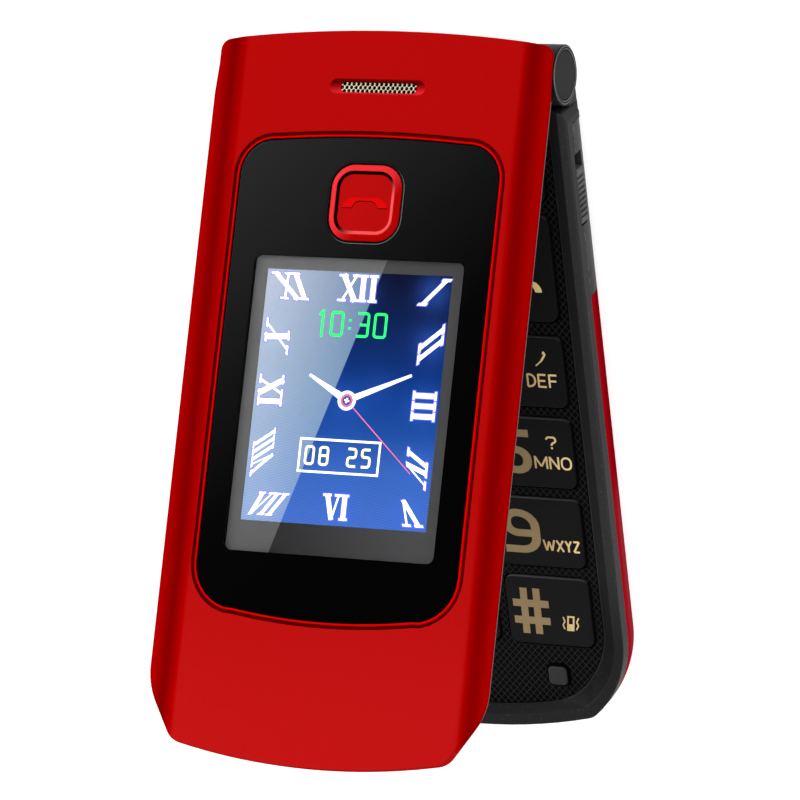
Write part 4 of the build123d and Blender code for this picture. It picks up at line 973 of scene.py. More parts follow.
# Strokes that several letters share.
STEM, END_STEM = [(-1, 1.1), (-1, -1.1)], [(1, 1.1), (1, -1.1)]
TOP_BAR, MIDDLE_BAR, LOW_BAR = [(-1, 1), (1, 1)], [(-1, 0), (0.8, 0)], [(-1, -1), (1, -1)]
ROUND = [(0, 1), (1, 1), (1, -1), (-1, -1), (-1, 1), (0.1, 1)]
HIGH_BOWL = [(-1, 1), (1, 1), (1, -0.05), (-1, -0.05)]
LETTERS = {
    "A": [[(-1, -1), (0, 1)], [(0, 1), (1, -1)], [(-0.6, -0.4), (0.6, -0.4)]],
    "B": [[(-1, -1), (-1, 1), (0.8, 1), (0.8, 0.05), (-1, 0.05)], [(-1, 0.05), (1, 0.05), (1, -1), (-1, -1)]],
    "C": [[(1, 0.5), (1, 1), (-1, 1), (-1, -1), (1, -1), (1, -0.5)]],
    "D": [[(-1, -1), (-1, 1)], [(-1.1, 1), (1, 1), (1, -1), (-1.1, -1)]],
    "E": [STEM, TOP_BAR, MIDDLE_BAR, LOW_BAR], "F": [STEM, TOP_BAR, MIDDLE_BAR],
    "G": [[(1, 0.5), (1, 1), (-1, 1), (-1, -1), (1, -1), (1, -0.1), (0.1, -0.1)]],
    "H": [STEM, END_STEM, [(-1, 0), (1, 0)]], "I": [[(0, 1.1), (0, -1.1)]],
    "J": [[(1, 1.1), (1, -1), (-1, -1), (-1, -0.5)]],
    "K": [STEM, [(1, 1), (-0.9, -0.1)], [(-0.4, 0.2), (1, -1)]], "L": [STEM, LOW_BAR],
    "M": [STEM, [(-1, 1), (0, -0.7)], [(0, -0.7), (1, 1)], END_STEM],
    "N": [STEM, [(-1, 1), (1, -1)], END_STEM],
    "O": [ROUND], "P": [STEM, HIGH_BOWL], "Q": [ROUND, [(0.2, -0.4), (1.1, -1.2)]],
    "R": [STEM, HIGH_BOWL, [(0.1, -0.05), (1, -1.1)]],
    "S": [[(1, 0.6), (1, 1), (-1, 1), (-1, 0.02), (1, 0.02), (1, -1), (-1, -1), (-1, -0.6)]],
    "T": [[(-1.1, 1), (1.1, 1)], [(0, 1), (0, -1.1)]],
    "U": [[(-1, 1.1), (-1, -1), (1, -1), (1, 1.1)]],
    "V": [[(-1, 1.1), (0, -1)], [(0, -1), (1, 1.1)]],
    "W": [[(-1, 1.1), (-0.5, -1)], [(-0.5, -1), (0, 0.8)], [(0, 0.8), (0.5, -1)], [(0.5, -1), (1, 1.1)]],
    "X": [[(-1, 1.1), (1, -1.1)], [(1, 1.1), (-1, -1.1)]],
    "Y": [[(-1, 1.1), (0, 0)], [(1, 1.1), (0, 0)], [(0, 0.1), (0, -1.1)]],
    "Z": [TOP_BAR, [(1, 1), (-1, -1)], LOW_BAR], "+": [[(-1, 0), (1, 0)], [(0, 1), (0, -1)]],
}


def digit(shell, mark, x, v, width, height, stroke, level, finish, round_by=0.75, heavy=1.0):
    """One digit in round-cornered strokes about (x, v). It is drawn narrow and then widened, so that
    its uprights are heavier than its bars."""
    reach = np.array(((width / heavy - stroke) / 2, (height - stroke) / 2))
    quads = []
    for i, path in enumerate(DIGITS[mark]):
        closed = i in RINGS.get(mark, ())
        points = np.asarray(path) * reach * (1, -1)
        shortest = np.linalg.norm(np.diff(points, axis=0), axis=1).min()
        radius = min(stroke * round_by, 0.47 * shortest) * np.array(ROUNDER.get(mark, 1.0))
        line = bent(points, radius, 6, closed) if len(points) > 2 else points
        quads.append(strip(line, stroke, closed) * (heavy, 1) + (x, v))
    inked(shell, quads, level, finish)


def numeral(shell, text, x, y, along, up, sizes, level, finish, halo):
    """A Roman numeral: strokes and end bars in its own (across, up), carried by two vectors that may
    lean."""
    tall, scale = sizes["numeral"], sizes["numeral"] / 4.2
    start = -sum(ROMAN[c][0] for c in text) * scale / 2
    quads = []
    for c in text:
        width, strokes, heads, feet = ROMAN[c]
        middle = start + width * scale / 2
        for a, b, heavy in strokes:
            path = np.array((a, b)) * (scale, tall) + (middle, 0)
            quads.append(strip(path, sizes["heavy"] if heavy else sizes["fine"]))
        for side, places in ((0.465, heads), (-0.465, feet)):
            for place in places:
                at = middle + place * scale
                reach = 0.75 * scale
                quads.append(strip(((at - reach, side * tall), (at + reach, side * tall)), sizes["fine"]))
        start += width * scale
    flat = np.concatenate(quads) @ np.array((along, up), float) + (x, y)
    flat = flat * (1, -1) + (0, sizes["middle"])
    inked(shell, [flat], level, finish)
    wide = flat + 0.14 * np.sign(flat - flat.mean(1, keepdims=True))
    inked(shell, [wide], level - 0.006, halo, 0.012)


def glow_light(name, shade, strength, edge=None):
    """A lit mark on the display."""
    made = Paint(name)
    fleck = made.span(made.noise(2500.0), 0.35, 0.65, 0.0, 0.5)
    tone = made.mix(fleck, shade, edge or tuple(c * 0.9 for c in shade))
    return made.set(Base_Color=tone, Roughness=0.5, Specular_IOR_Level=0.1, Emission_Color=tone,
                    Emission_Strength=strength).material


def painted_sheen_mask(made, across, along):
    """1 where a painted reflection lightens the display, on one side of the slanted line that crosses it,
    with a crisp edge.
    """
    line = made.math("ADD", made.math("MULTIPLY", across, 3.11), along)
    return made.span(line, 0.449, 0.4517, 1.0, 0.0, True)


def picture_light():
    """The picture: navy at the top to mid blue below, blue light around the numerals, a slanted half
    made pale by a painted reflection, and a fine slanting ripple."""
    made = Paint("picture")
    across, along = made.plan()
    down = made.span(along, 0.331, 0.727)
    glow = made.add("Attribute", attribute_name="glow").outputs["Fac"]
    deep = made.ramp(down, screen(
        (0.0, (0, 2, 40)), (0.17, (0, 26, 80)), (0.33, (0, 42, 114)), (0.48, (2, 60, 148)),
        (0.63, (24, 78, 166)), (0.78, (56, 104, 194)), (1.0, (70, 114, 210))))
    # The painted reflection over the pale half, dimmer toward the right.
    pale = made.ramp(down, screen((0.0, (196, 206, 226)), (0.3, (180, 198, 220)), (0.6, (168, 190, 220)),
                                  (1.0, (150, 180, 228))))
    dim = made.ramp(down, screen((0.0, (88, 124, 160)), (0.5, (92, 134, 180)), (1.0, (90, 134, 206))))
    deep = made.mix(made.span(glow, 0.0, 1.0, 0.0, 0.4), deep, linear((60, 120, 250)))
    pale = made.mix(made.span(glow, 0.0, 1.0, 0.0, 0.3), pale, linear((214, 224, 255)))
    pale = made.mix(made.span(across, -0.155, 0.035, 0.0, 0.9), pale, dim)
    shade = made.mix(painted_sheen_mask(made, across, along), deep, pale)
    slant = made.math("ADD", made.math("MULTIPLY", across, 0.32), along)
    ripple = made.math("SINE", made.math("MULTIPLY", slant, 1500.0))
    swing = made.math("MULTIPLY", ripple, made.span(along, 0.4, 0.7, 0.03, 0.1))
    shade = made.scaled(shade, made.math("ADD", swing, 1.0))
    return made.set(Base_Color=(0.0, 0.0, 0.0), Roughness=0.5, Specular_IOR_Level=0.02, Emission_Color=shade,
                    Emission_Strength=1.0).material


def border_grey():
    """The grey border of the display: the painted reflection lightens it on the same slanted half as the
    picture; elsewhere its lower part goes from dark at the left to lighter at the right.
    """
    made = Paint("display_border")
    across, along = made.plan()
    low = made.mix(made.span(across, -0.12, 0.13), grey(40), grey(86))
    plain = made.mix(made.span(along, 0.4, 0.7, smooth=True), grey(84), low)
    # The border under the painted reflection.
    lit = made.mix(made.span(along, 0.3, 0.8), linear((130, 130, 130)), linear((112, 112, 112)))
    shade = made.mix(painted_sheen_mask(made, across, along), plain, lit)
    shade = made.mix(made.span(made.noise(5000.0), 0.4, 0.7, 0.0, 0.05), shade, linear((120, 120, 124)))
    return made.set(Base_Color=shade, Roughness=0.5, Specular_IOR_Level=0.1).material


class PHONE_OT_outer_display(Operator, Maker):
    """Builds the outer display with its clock face"""
    bl_idname = "phone.outer_display"
    bl_label = "Outer Display"

    def execute(self, context):
        s, lid, steps = self.sizes("display", "lid")
        top = lid["glass_top"] - lid["glass_thick"] - 0.05
        edge = rounded(36.0, DISPLAY_TALL, 0.8, 0, DISPLAY_V, steps)
        x = np.linspace(-s["half_width"], s["half_width"], 49)
        v = s["middle"] + np.linspace(-s["half_height"], s["half_height"], 61)
        grid = np.stack(np.meshgrid(x, v, top, indexing="ij"), -1)[:, :, 0]
        rim = np.concatenate((grid[:-1, 0], grid[-1, :-1], grid[:0:-1, -1], grid[0, :0:-1]))
        shell = Shell()
        shell.fill([edge, rim[:, :2]], top).skin(grid, 1, closed=False)
        shell.wall(edge, top, top - 1.8).fill([edge], top - 1.8)
        self.marks(shell, s, top + 0.008)
        lights = (("dial_white", tuple(self.settings.colours.dial), 1.0, (0.86, 0.90, 1.0)),
                  ("date_yellow", linear((255, 253, 196)), 0.95),
                  ("second_red", linear((222, 104, 132)), 0.9),
                  ("day_green", linear((40, 240, 110)), 1.0),
                  ("halo_violet", linear((120, 116, 250)), 0.9))
        finishes = [border_grey(), picture_light(), *(glow_light(*light) for light in lights)]
        made_piece("display_clock", shell, on_lid, finishes, "lid", ["outer_display"], 30.0,
                   clock_glow(s))
        return {"FINISHED"}

    def marks(self, shell, s, level):
        """The numerals, the three hands and their hub, the framed day and the time."""
        middle = s["middle"]
        for text, cx, cy, along, up in DIAL:
            numeral(shell, text, cx, cy, along, up, s, level, 2, 6)
        hub = np.array((0.17, middle + 0.28))
        hands = []
        for tip, broad in ((np.array((-6.64, middle - 3.45)), 1.15), (np.array((10.73, middle - 4.16)), 1.0)):
            path = hub + unit(tip - hub) * np.linspace(1.1, np.linalg.norm(tip - hub), 5)[:, None]
            hands.append(strip(path, np.linspace(broad, 0.42, 5)))
        hands.append(strip(hub + circle(1.3, 36), 0.5, True))
        for arm in ((0.42, 0.1), (0.1, -0.42)):
            hands.append(strip((hub - arm, hub + arm), 0.3))
        inked(shell, hands, level, 2)
        second = np.array((12.2, middle + 11.05))
        inked(shell, [strip((hub + unit(second - hub) * 1.6, second), 0.17)], level + 0.004, 4, 0.018)
        inked(shell, [strip(hub + circle(0.84, 36), 0.26, True)], level, 4)
        box = [(-6.93, 6.56), (6.66, 6.56), (6.66, 11.63), (-6.93, 11.63)]
        inked(shell, [strip(np.array(box) + (0, middle), 0.36, True)], level, 2)
        for mark, at in zip("0825", (-5.2, -2.75, 2.05, 4.45)):
            digit(shell, mark, at, middle + 9.1, 1.75, 3.1, 0.4, level, 3, 1.1)
        for mark, at in zip("10:30", (-5.6, -2.9, -0.7, 1.5, 4.5)):
            digit(shell, mark, at, middle - 11.6, 2.3, 4.0, 0.42, level, 5, 1.0)


def clock_glow(s):
    """Light around the marks of the clock face: a sum of bells, each falling with the square of the
    distance over its own spread."""
    spots = [(cx, cy, 2.6, 0.75) for _, cx, cy, _, _ in DIAL] + [(0.2, -0.3, 2.6, 0.6), (-3, 1.6, 2.0, 0.3),
                                                                  (5, 1.8, 2.4, 0.3), (0, -9.4, 5.0, 0.25)]

    def glow(rows):
        x, y = rows[:, 0], s["middle"] - rows[:, 1]
        total = np.zeros(len(rows))
        for cx, cy, spread, weight in spots:
            total += weight * np.exp(-((x - cx) ** 2 + (y - cy) ** 2) / spread ** 2)
        return np.clip(total, 0, 1)
    return glow


HANDSET = [(-3.65, 0.8), (-3.45, 0.3), (-2.95, -0.35), (-2.45, -0.68), (-1.9, -0.82), (1.9, -0.82),
           (2.55, -0.66), (3.15, -0.22), (3.55, 0.28), (3.65, 0.8), (2.12, 0.8), (1.95, 0.35), (1.55, -0.1),
           (0.95, -0.33), (-0.95, -0.33), (-1.5, -0.1), (-1.85, 0.35), (-2.0, 0.8)]


def handset(x, v, wide, tall):
    """The outline of a telephone receiver lying flat."""
    return bent(np.asarray(HANDSET) * (wide, tall) + (x, v), 0.12, 2, True)


def round_slope(made, v, start, end):
    """How far a point lies to the lower right of (0, v): 0 at the upper left, 1 at the lower right."""
    across, along = made.plan()
    lean = made.math("ADD", across, made.math("SUBTRACT", along, v / 100))
    return made.span(lean, start / 100, end / 100, smooth=True)


def rim_red(v):
    """Red of the button's rim, with a painted highlight at its upper left."""
    made = Paint("button_rim")
    fine = made.noise(3000.0)
    red = made.mix(round_slope(made, v, -1.5, 4.5), linear((255, 48, 56)), linear((200, 0, 0)))
    return made.set(Base_Color=made.specked(fine, 0.08, red, linear((206, 6, 10))), Specular_IOR_Level=0.04,
                    Roughness=made.span(fine, 0.3, 0.7, 0.3, 0.36)).material


def slope_red(v):
    """Red of the slope inside the rim: black painted shadow at its upper left, a painted highlight at its
    lower right.
    """
    made = Paint("button_inner_slope")
    red = made.mix(round_slope(made, v, 0.0, 4.0), linear((2, 0, 0)), linear((255, 92, 92)))
    red = made.specked(made.noise(3000.0), 0.02, red, linear((150, 10, 12)))
    return made.set(Base_Color=red, Roughness=0.3, Specular_IOR_Level=0.02).material


def ring_metal(v):
    """The ring's outer edge: black, with a painted metal-grey highlight at the lower right."""
    made = Paint("ring_edge")
    # Painted highlight: metal grey at the lower right, black elsewhere.
    metal = made.drift(made.noise(4000.0), linear((96, 112, 116)), linear((124, 138, 140)))
    shade = made.mix(round_slope(made, v, -1.5, 4.5), linear((8, 9, 10)), metal)
    return made.set(Base_Color=shade, Roughness=0.35, Specular_IOR_Level=0.2).material


class PHONE_OT_answer_button(Operator, Maker):
    """Builds the red button in the outer glass and the thin ring around it"""
    bl_idname = "phone.answer_button"
    bl_label = "Answer Button"

    def execute(self, context):
        s, lid, steps = self.sizes("button", "lid")
        loop = square_about(s, 0.0, steps + 3)
        self.button(s, loop, lid["glass_top"] - 0.05)
        self.ring(s, loop, lid["glass_top"] + 0.06, lid["seam"] + 0.05)
        return {"FINISHED"}

    def button(self, s, loop, foot):
        """A flange under the glass, a sloping rim, and a face in a shallow dish with its sign and a dark copy
        of the sign as its painted shadow.
        """
        top, rim, face = s["top"], s["rim"], s["top"] - s["dish"]
        flange, low, bowl = 0.35, 4.6, -rim - 0.62
        slope = [(0, foot), (-0.03, foot + 0.06), (-0.1, foot + 0.11), (-rim + 0.14, top - 0.035),
                 (-rim + 0.05, top - 0.004), (-rim - 0.03, top - 0.01), (-rim - 0.1, top - 0.05)]
        shell = Shell().banded(loop, (0, [(flange, low), (flange, 5.3), (0, 5.35), *slope]),
                               (5, [(-rim - 0.55, face + 0.012), (bowl, face)]))
        shell.fill([grown(loop, bowl)], face, 2)
        icon = handset(0.0, s["middle"], 1.07, 0.97)
        # A dark copy of the sign, lower and offset toward the free end, is its painted shadow.
        plated(shell, [icon + (0.03, 0.13)], face - 0.01, face + 0.012, 3)
        plated(shell, [icon], face - 0.01, face + 0.03, 4)
        shell.fill([grown(loop, flange)], low)
        finishes = [rim_red(s["middle"]), self.finishes["black"],
                    moulded("button_face", tuple(self.settings.colours.button_face), 0.5, 0.01, 0.04),
                    tinted("icon_edge", linear((50, 0, 2))), tinted("icon_red", linear((236, 10, 12))),
                    slope_red(s["middle"])]
        made_piece("call_button", shell, on_lid, finishes, "answer_button_body",
                   ["answer_button"], 28.0)

    def ring(self, s, loop, top, low):
        """A thin ring, black but for its outer edge."""
        near, far = 0.16, 0.465
        shell = Shell().banded(loop, (0, [(near, low), (near, top - 0.04), (0.2, top), (0.36, top)]),
                               (1, [(0.41, top - 0.005), (0.455, top - 0.04), (far, top - 0.1)]),
                               (0, [(far, low), (near, low)]))
        made_piece("button_bezel", shell, on_lid, [self.finishes["black"], ring_metal(s["middle"])], "lid",
                   ["button_ring"])


class PHONE_OT_speaker_mesh(Operator, Maker):
    """Builds the perforated mesh over the ringer"""
    bl_idname = "phone.speaker_mesh"
    bl_label = "Speaker Mesh"

    def execute(self, context):
        lid, steps = self.sizes("lid")
        top, pitch, row = lid["top"] - BED_DROP, 0.79, 0.56
        holes = [circle(0.335, 14) + (x * pitch, MESH_V + v) for v, n in ((-row, 16), (0, 17), (row, 16))
                 for x in np.arange(n) - (n - 1) / 2]
        shell = Shell()
        plated(shell, [rounded(13.0, 1.5, 0.74, 0, MESH_V, steps), *holes], top - BED_THICK, top - 0.02, 0)
        cream = moulded("cream_mesh", tuple(self.settings.colours.mesh), 0.35, 0.35, 0.08, 3000.0)
        made_piece("perforated_mesh", shell, on_lid, [cream], "lid", ["speaker_mesh"])
        return {"FINISHED"}


# A cap's profile of (x, radius), from its inner end to the middle of its face, in bands by finish; finish 1,
# on the rounded rims, is a painted highlight.
CAP_POINTS = 72
CAP = ((0, [(27.3, 0.0), (27.3, 3.7), (28.3, 3.7), (28.3, 4.55), (28.4, 4.55)]),
       (1, [(28.46, 4.53), (28.49, 4.47), (28.5, 4.4)]), (0, [(28.5, 4.1)]),
       (1, [(28.49, 4.05), (28.45, 4.0), (28.4, 3.98)]), (2, [(28.34, 3.96), (28.34, 3.86), (28.36, 3.82)]),
       (0, [(28.41, 3.78), (28.43, 3.7), (28.43, 2.5), (28.44, 1.2), (28.44, 0.0)]))


class PHONE_OT_hinge_caps(Operator, Maker):
    """Builds the round caps in both ends of the hinge"""
    bl_idname = "phone.hinge_caps"
    bl_label = "Hinge Caps"

    def execute(self, context):
        shell = Shell()
        for side in (-1, 1):
            for finish, profile in chained(CAP):
                shell.skin([np.column_stack((np.full(CAP_POINTS, side * x), circle(radius, CAP_POINTS)))
                            for x, radius in profile], finish)
        # Lighter grey for the painted highlights on the rims.
        edge = moulded("cap_edge", linear((112, 114, 114)), 0.4, 0.2, 0.45, 700.0)
        made_piece("round_caps", shell, on_base, [self.finishes["cap"], edge, self.finishes["black"]], "base",
                   ["hinge_caps"])
        return {"FINISHED"}


# ---------------------------------------------------------------- the keypad
# Number keys: the start of the first row, the step between rows, a key's length and corner, its
# width in the outer columns and in the middle one, and the middle of an outer column.
ROWS, PITCH, KEY_LONG, NUMBER_CORNER = 44.1, 14.1, 12.0, 1.35
SIDE_WIDE, MIDDLE_WIDE, SIDE_X = 14.75, 11.8, 15.325
# Keys above them: the middle of an outer column, a key's width and corner, and the ring's middle.
MENU_X, MENU_WIDE, MENU_CORNER, NAV_V = 17.65, 10.1, 1.7, 26.2
# The flange that holds a key: how far it stands out, its top and its foot.
FLANGE_OUT, FLANGE_TOP, FLANGE_FOOT = 0.4, -1.45, -1.8
# A mark's letters: (width, height, right edge, drop) where they differ, and a letter's own width.
LETTER_PLACES = {"3": (5.4, 2.4, 3.43, 1.4), "6": (6.55, 2.3, 3.7, 1.57), "9": (6.55, 2.12, 3.55, 2.15)}
LETTER_WIDE = {"M": 1.4, "N": 1.05, "O": 1.14, "W": 1.6, "X": 1.06, "J": 0.7, "I": 0.3, "+": 1.0}
LEGENDS = {"1": "", "2": "ABC", "3": "DEF", "4": "GHI", "5": "JKL", "6": "MNO", "7": "PQRS", "8": "TUV",
           "9": "WXYZ", "0": "+", "star": "", "hash": ""}


def letter_strokes(letter, x, v, width, height, stroke):
    """The strokes of one plain letter about (x, v): round wherever a path turns."""
    reach = np.array(((width - stroke) / 2, (height - stroke) / 2))
    for path in LETTERS[letter]:
        points = np.asarray(path) * reach * (1, -1) + (x, v)
        if len(points) > 2:
            sides = np.linalg.norm(np.diff(points, axis=0), axis=1)
            points = bent(points, min(0.48 * sides[1:-1].min(), 0.95 * sides[[0, -1]].min()), 5)
        yield strip(points, stroke)


def key_places():
    """Each key's (x, v, width, height, corner, hole)."""
    places = {}
    for row, names in enumerate((("1", "2", "3"), ("4", "5", "6"), ("7", "8", "9"), ("star", "0", "hash"))):
        for name, x, width in zip(names, (-SIDE_X, 0.0, SIDE_X), (SIDE_WIDE, MIDDLE_WIDE, SIDE_WIDE)):
            places["key_" + name] = (x, ROWS + row * PITCH + KEY_LONG / 2, width, KEY_LONG, NUMBER_CORNER, 0)
    pairs = (("soft_key_left", "soft_key_right", 16.2, 10.4), ("call_key", "end_key", 32.45, 17.9))
    for left, right, v, height in pairs:
        for name, x in ((left, -MENU_X), (right, MENU_X)):
            places[name] = (x, v, MENU_WIDE, height, MENU_CORNER, 0)
    places["nav_ring"] = (0.0, NAV_V, 21.2, 26.4, 6.0, 10.5)
    places["select_key"] = (0.0, NAV_V, 9.4, 9.4, 2.6, 0)
    return places


def key_shell(x, v, width, height, corner, hole, top, steps):
    """A key cap with a softly rounded edge, slightly crowned, over the flange that holds it."""
    loop = rounded(width, height, corner, x, v, steps)
    edge = [(-0.15 * (1 - cos(t)), top - 0.2 + 0.15 * sin(t)) for t in quarter()]
    crown = [(-0.45, top - 0.025), (-0.9, top - 0.008), (-1.4, top)]
    flange = [(FLANGE_OUT, FLANGE_FOOT), (FLANGE_OUT, FLANGE_TOP), (0, FLANGE_TOP)]
    shell = Shell().swept(loop, [*flange, *edge, *crown])
    upper, lower = [grown(loop, -1.4)], [grown(loop, FLANGE_OUT)]
    if hole:
        bore = rounded(hole, hole, 2.9, x, v, steps)
        shell.swept(bore, [(0.3, top), (0.1, top - 0.06), (0, top - 0.2), (0, FLANGE_FOOT)])
        upper.append(grown(bore, 0.3))
        lower.append(bore)
    return shell.fill(upper, top).fill(lower, FLANGE_FOOT)


class PHONE_OT_keys(Operator, Maker):
    """Builds the keys with their legends"""
    bl_idname = "phone.keys"
    bl_label = "Keys"

    def execute(self, context):
        s, steps = self.sizes("keypad")
        level = s["key_top"] - 0.004
        looks = [self.finishes["key"], self.finishes["legend"], self.finishes["letters"]]
        for name, (x, v, width, *rest) in key_places().items():
            shell = key_shell(x, v, width, *rest, s["key_top"], steps)
            mark = name.removeprefix("key_")
            if mark in LEGENDS:
                self.number_key(shell, mark, x, v, width, s, level)
            elif name.startswith("soft"):
                inked(shell, [strip(((x - 1.6, v), (x + 1.6, v)), 0.5)], level, 1)
            elif name in ("call_key", "end_key"):
                lean = radians(-38 if name == "call_key" else 0)
                turn = np.array(((cos(lean), -sin(lean)), (sin(lean), cos(lean))))
                middle = (x, 34.0)
                icon = (handset(x, 35.45, 0.77, 1.12) - middle) @ turn + middle
                plated(shell, [icon], level, level + 0.02, 2)
            elif name == "nav_ring":
                for away in np.array(((0, -9.6), (0, 9.6), (-8.0, 0), (8.0, 0))):
                    out = unit(away)
                    side, spot = np.array((-out[1], out[0])) * 0.9, away + (x, v)
                    path = (spot - side - out * 0.45, spot + out * 0.45, spot + side - out * 0.45)
                    inked(shell, [strip(path, 0.4)], level, 1)
            else:
                inked(shell, [strip(rounded(3.2, 3.2, 0.9, x, v, 5), 0.4, True)], level, 1)
            made_piece(name + "_cap", shell, on_base, looks, name + "_body", [name], 26.0)
        return {"FINISHED"}

    def number_key(self, shell, mark, x, v, width, s, level):
        """A large digit at the left of the key and its letters at the right."""
        if mark == "hash":
            bars = [strip(((x + at + 0.08, v - 4.0), (x + at - 0.08, v + 4.2)), 1.25) for at in (-4.3, -2.05)]
            bars += [strip(((x - 6.3, v + at), (x + 0.05, v + at)), 1.3) for at in (-1.25, 1.8)]
            inked(shell, bars, level, 1)
            self.buzz_icon(shell, x + 3.63, v + 1.87, level)
        elif mark == "star":
            ways = [np.array((cos(radians(turn)), sin(radians(turn)))) * 3.1 for turn in (90, 30, 150)]
            spot = np.array((x - 2.9, v))
            inked(shell, [strip((spot - way, spot + way), 1.25) for way in ways], level, 1)
        else:
            narrow = width < SIDE_WIDE
            wide = 4.9 if narrow else 6.5
            left = x - (5.3 if narrow else 6.5)
            digit(shell, mark, left + wide / 2, v - 0.12, wide, s["digit"], s["stroke"], level, 1, 1.5, 1.2)
            if LEGENDS[mark]:
                self.letters(shell, mark, LEGENDS[mark], x, v, narrow, s, level)

    def letters(self, shell, mark, letters, x, v, narrow, s, level):
        """The small letters beside the digit, and a mark above them on two keys."""
        wide, tall, right, low = LETTER_PLACES.get(mark, (6.6 if len(letters) == 4 else 5.9, 2.2, 3.5, 1.9))
        if letters == "+":
            wide, tall = 1.5, 1.5
        if narrow:
            wide, tall, right = wide * 0.72, tall * 0.9, 2.6
        shares = np.array([LETTER_WIDE.get(letter, 0.95) for letter in letters])
        share_gap = 0.06 if len(letters) == 4 else 0.15
        unit_wide = wide / (shares.sum() + share_gap * (len(letters) - 1))
        starts = np.concatenate(([0.0], np.cumsum(shares + share_gap)[:-1]))
        strokes = []
        for letter, share, start in zip(letters, shares, starts):
            at = x + right - wide / 2 + (start + share / 2) * unit_wide
            strokes += letter_strokes(letter, at, v + low, share * unit_wide, tall, s["letter_stroke"])
        inked(shell, strokes, level, 2)
        if mark == "6":
            hook = bent(((x + 2.9, v - 2.5), (x + 3.1, v - 2.92), (x + 4.4, v - 2.92), (x + 4.6, v - 2.2),
                         (x + 3.8, v - 1.8), (x + 3.8, v - 1.45)), 0.42, 5)
            dot = ((x + 3.8, v - 1.2), (x + 3.8, v - 0.88))
            inked(shell, [strip(hook, 0.33), strip(dot, 0.36)], level, 2)
        if mark == "3":
            path = bent(((x + 3.95, v - 3.5), (x + 4.45, v - 3.3), (x + 3.6, v - 2.0), (x + 2.6, v - 1.15)),
                        0.35, 4)
            inked(shell, [strip(path, np.linspace(0.5, 0.22, len(path)))], level, 2)

    def buzz_icon(self, shell, x, v, level):
        """A small handset body with a wave on each side."""
        body = [strip(((-0.5, -1.2), (0.5, -1.2), (0.5, 1.2), (-0.5, 1.2)), 0.3, True),
                strip(((0, 0.1), (0, 1.3)), 1.0)]
        t = np.linspace(-1.1, 1.1, 15)
        waves = [strip(np.column_stack((side * (1.2 + 0.13 * np.sin(t * 4.6)), t)), 0.24) for side in (-1, 1)]
        lean = np.array(((1.0, 0.0), (-0.12, 1.0)))
        inked(shell, [part @ lean + (x, v) for part in body + waves], level, 2)


def hatched():
    """Glossy black with a fine raised diamond hatch: two sets of slanting lines."""
    made = Paint("hatched_panel")
    across, along = made.plan()
    down = made.math("MULTIPLY", along, TURN / 0.0131)
    lines = []
    for sign in (1.0, -1.0):
        run = made.math("ADD", made.math("MULTIPLY", across, sign * TURN / 0.0118), down)
        lines.append(made.span(made.math("SINE", run), 0.86, 0.99, smooth=True))
    hatch = made.math("MAXIMUM", *lines)
    field = made.drift(made.noise(4200.0), grey(8), grey(13))
    made.set(Base_Color=made.mix(made.math("MULTIPLY", hatch, 0.9), field, grey(54)), Specular_IOR_Level=0.08,
             Roughness=made.span(hatch, 0.0, 1.0, 0.32, 0.42))
    return made.bump(hatch, 0.00004, 0.7).material


class PHONE_OT_keypad_panel(Operator, Maker):
    """Builds the hatched panel around the keys and the two rest pads"""
    bl_idname = "phone.keypad_panel"
    bl_label = "Keypad Panel"

    def execute(self, context):
        s, steps = self.sizes("keypad")
        top, low = -s["panel_drop"], -s["panel_drop"] - s["panel_thick"]
        half, tip = s["half"], s["tip"]
        edge = outline(s["start"], [(half, s["start"]), (half, tip - 10.5), (half - 5.8, tip - 2.4)],
                       [0.4, 14.0, 11.0], tip, steps, 10)
        gap = 2 * s["key_gap"]
        holes = [rounded(width + gap, height + gap, corner + 0.1, x, v, steps)
                 for name, (x, v, width, height, corner, _) in key_places().items() if name != "select_key"]
        holes += [rounded(3.8, 3.8, 1.1, x, PAD_V, steps) for x in (-PAD_X, PAD_X)]
        holes.append(circle(0.5, 20) + (0, PAD_V + 0.5))
        shell = Shell().fill([grown(edge, -0.15)] + [grown(hole, 0.2) for hole in holes], top)
        shell.swept(edge, [(-0.15, top), (-0.04, top - 0.05), (0, top - 0.16), (0, low)], 1)
        for hole in holes:
            shell.swept(hole, [(0.2, top), (0.06, top - 0.05), (0, top - 0.16), (0, low)], 1)
        shell.fill([edge] + holes, low, 1)
        made_piece("hatched_plate", shell, on_base, [hatched(), self.finishes["black"]], "base",
                   ["keypad_panel"], 30.0)
        self.pads(low, steps)
        return {"FINISHED"}

    def pads(self, low, steps):
        """Two low pads with a rounded top, each on a dark foot."""
        pads = Shell()
        for x in (-PAD_X, PAD_X):
            loop = rounded(3.7, 3.7, 1.0, x, PAD_V, steps)
            dome = [(-0.2 - 0.3 * (1 - cos(t)), 0.03 + 0.3 * sin(t)) for t in quarter()]
            pads.swept(loop, [(0, low), (0, -0.35), (-0.2, -0.3), (-0.2, 0.03)], 1)
            pads.swept(loop, [*dome, (-0.8, 0.33)]).fill([grown(loop, -0.8)], 0.33).fill([loop], low, 1)
        made_piece("rest_pad_pair", pads, on_base, [self.finishes["rubber"], self.finishes["black"]], "base",
                   ["rest_pads"])


# ---------------------------------------------------------------- carried-over pieces
def edged_housing():
    """Satin black, with a bluish grey line along the edge that lies under the cover."""
    made = Paint("edged_black")
    over = {0: made.from_axis(), 1: (0.0, sin(OPEN), cos(OPEN))}
    height = made.add("VectorMath", over, operation="DOT_PRODUCT").outputs["Value"]
    fine = made.noise(5200.0)
    shade = made.mix(made.span(height, 0.0047, 0.0049), made.drift(fine, grey(40), grey(50)),
                     made.drift(fine, linear((66, 88, 86)), linear((82, 102, 100))))
    return made.done(shade, fine, (0.42, 0.5), 0.15, 0.000006)


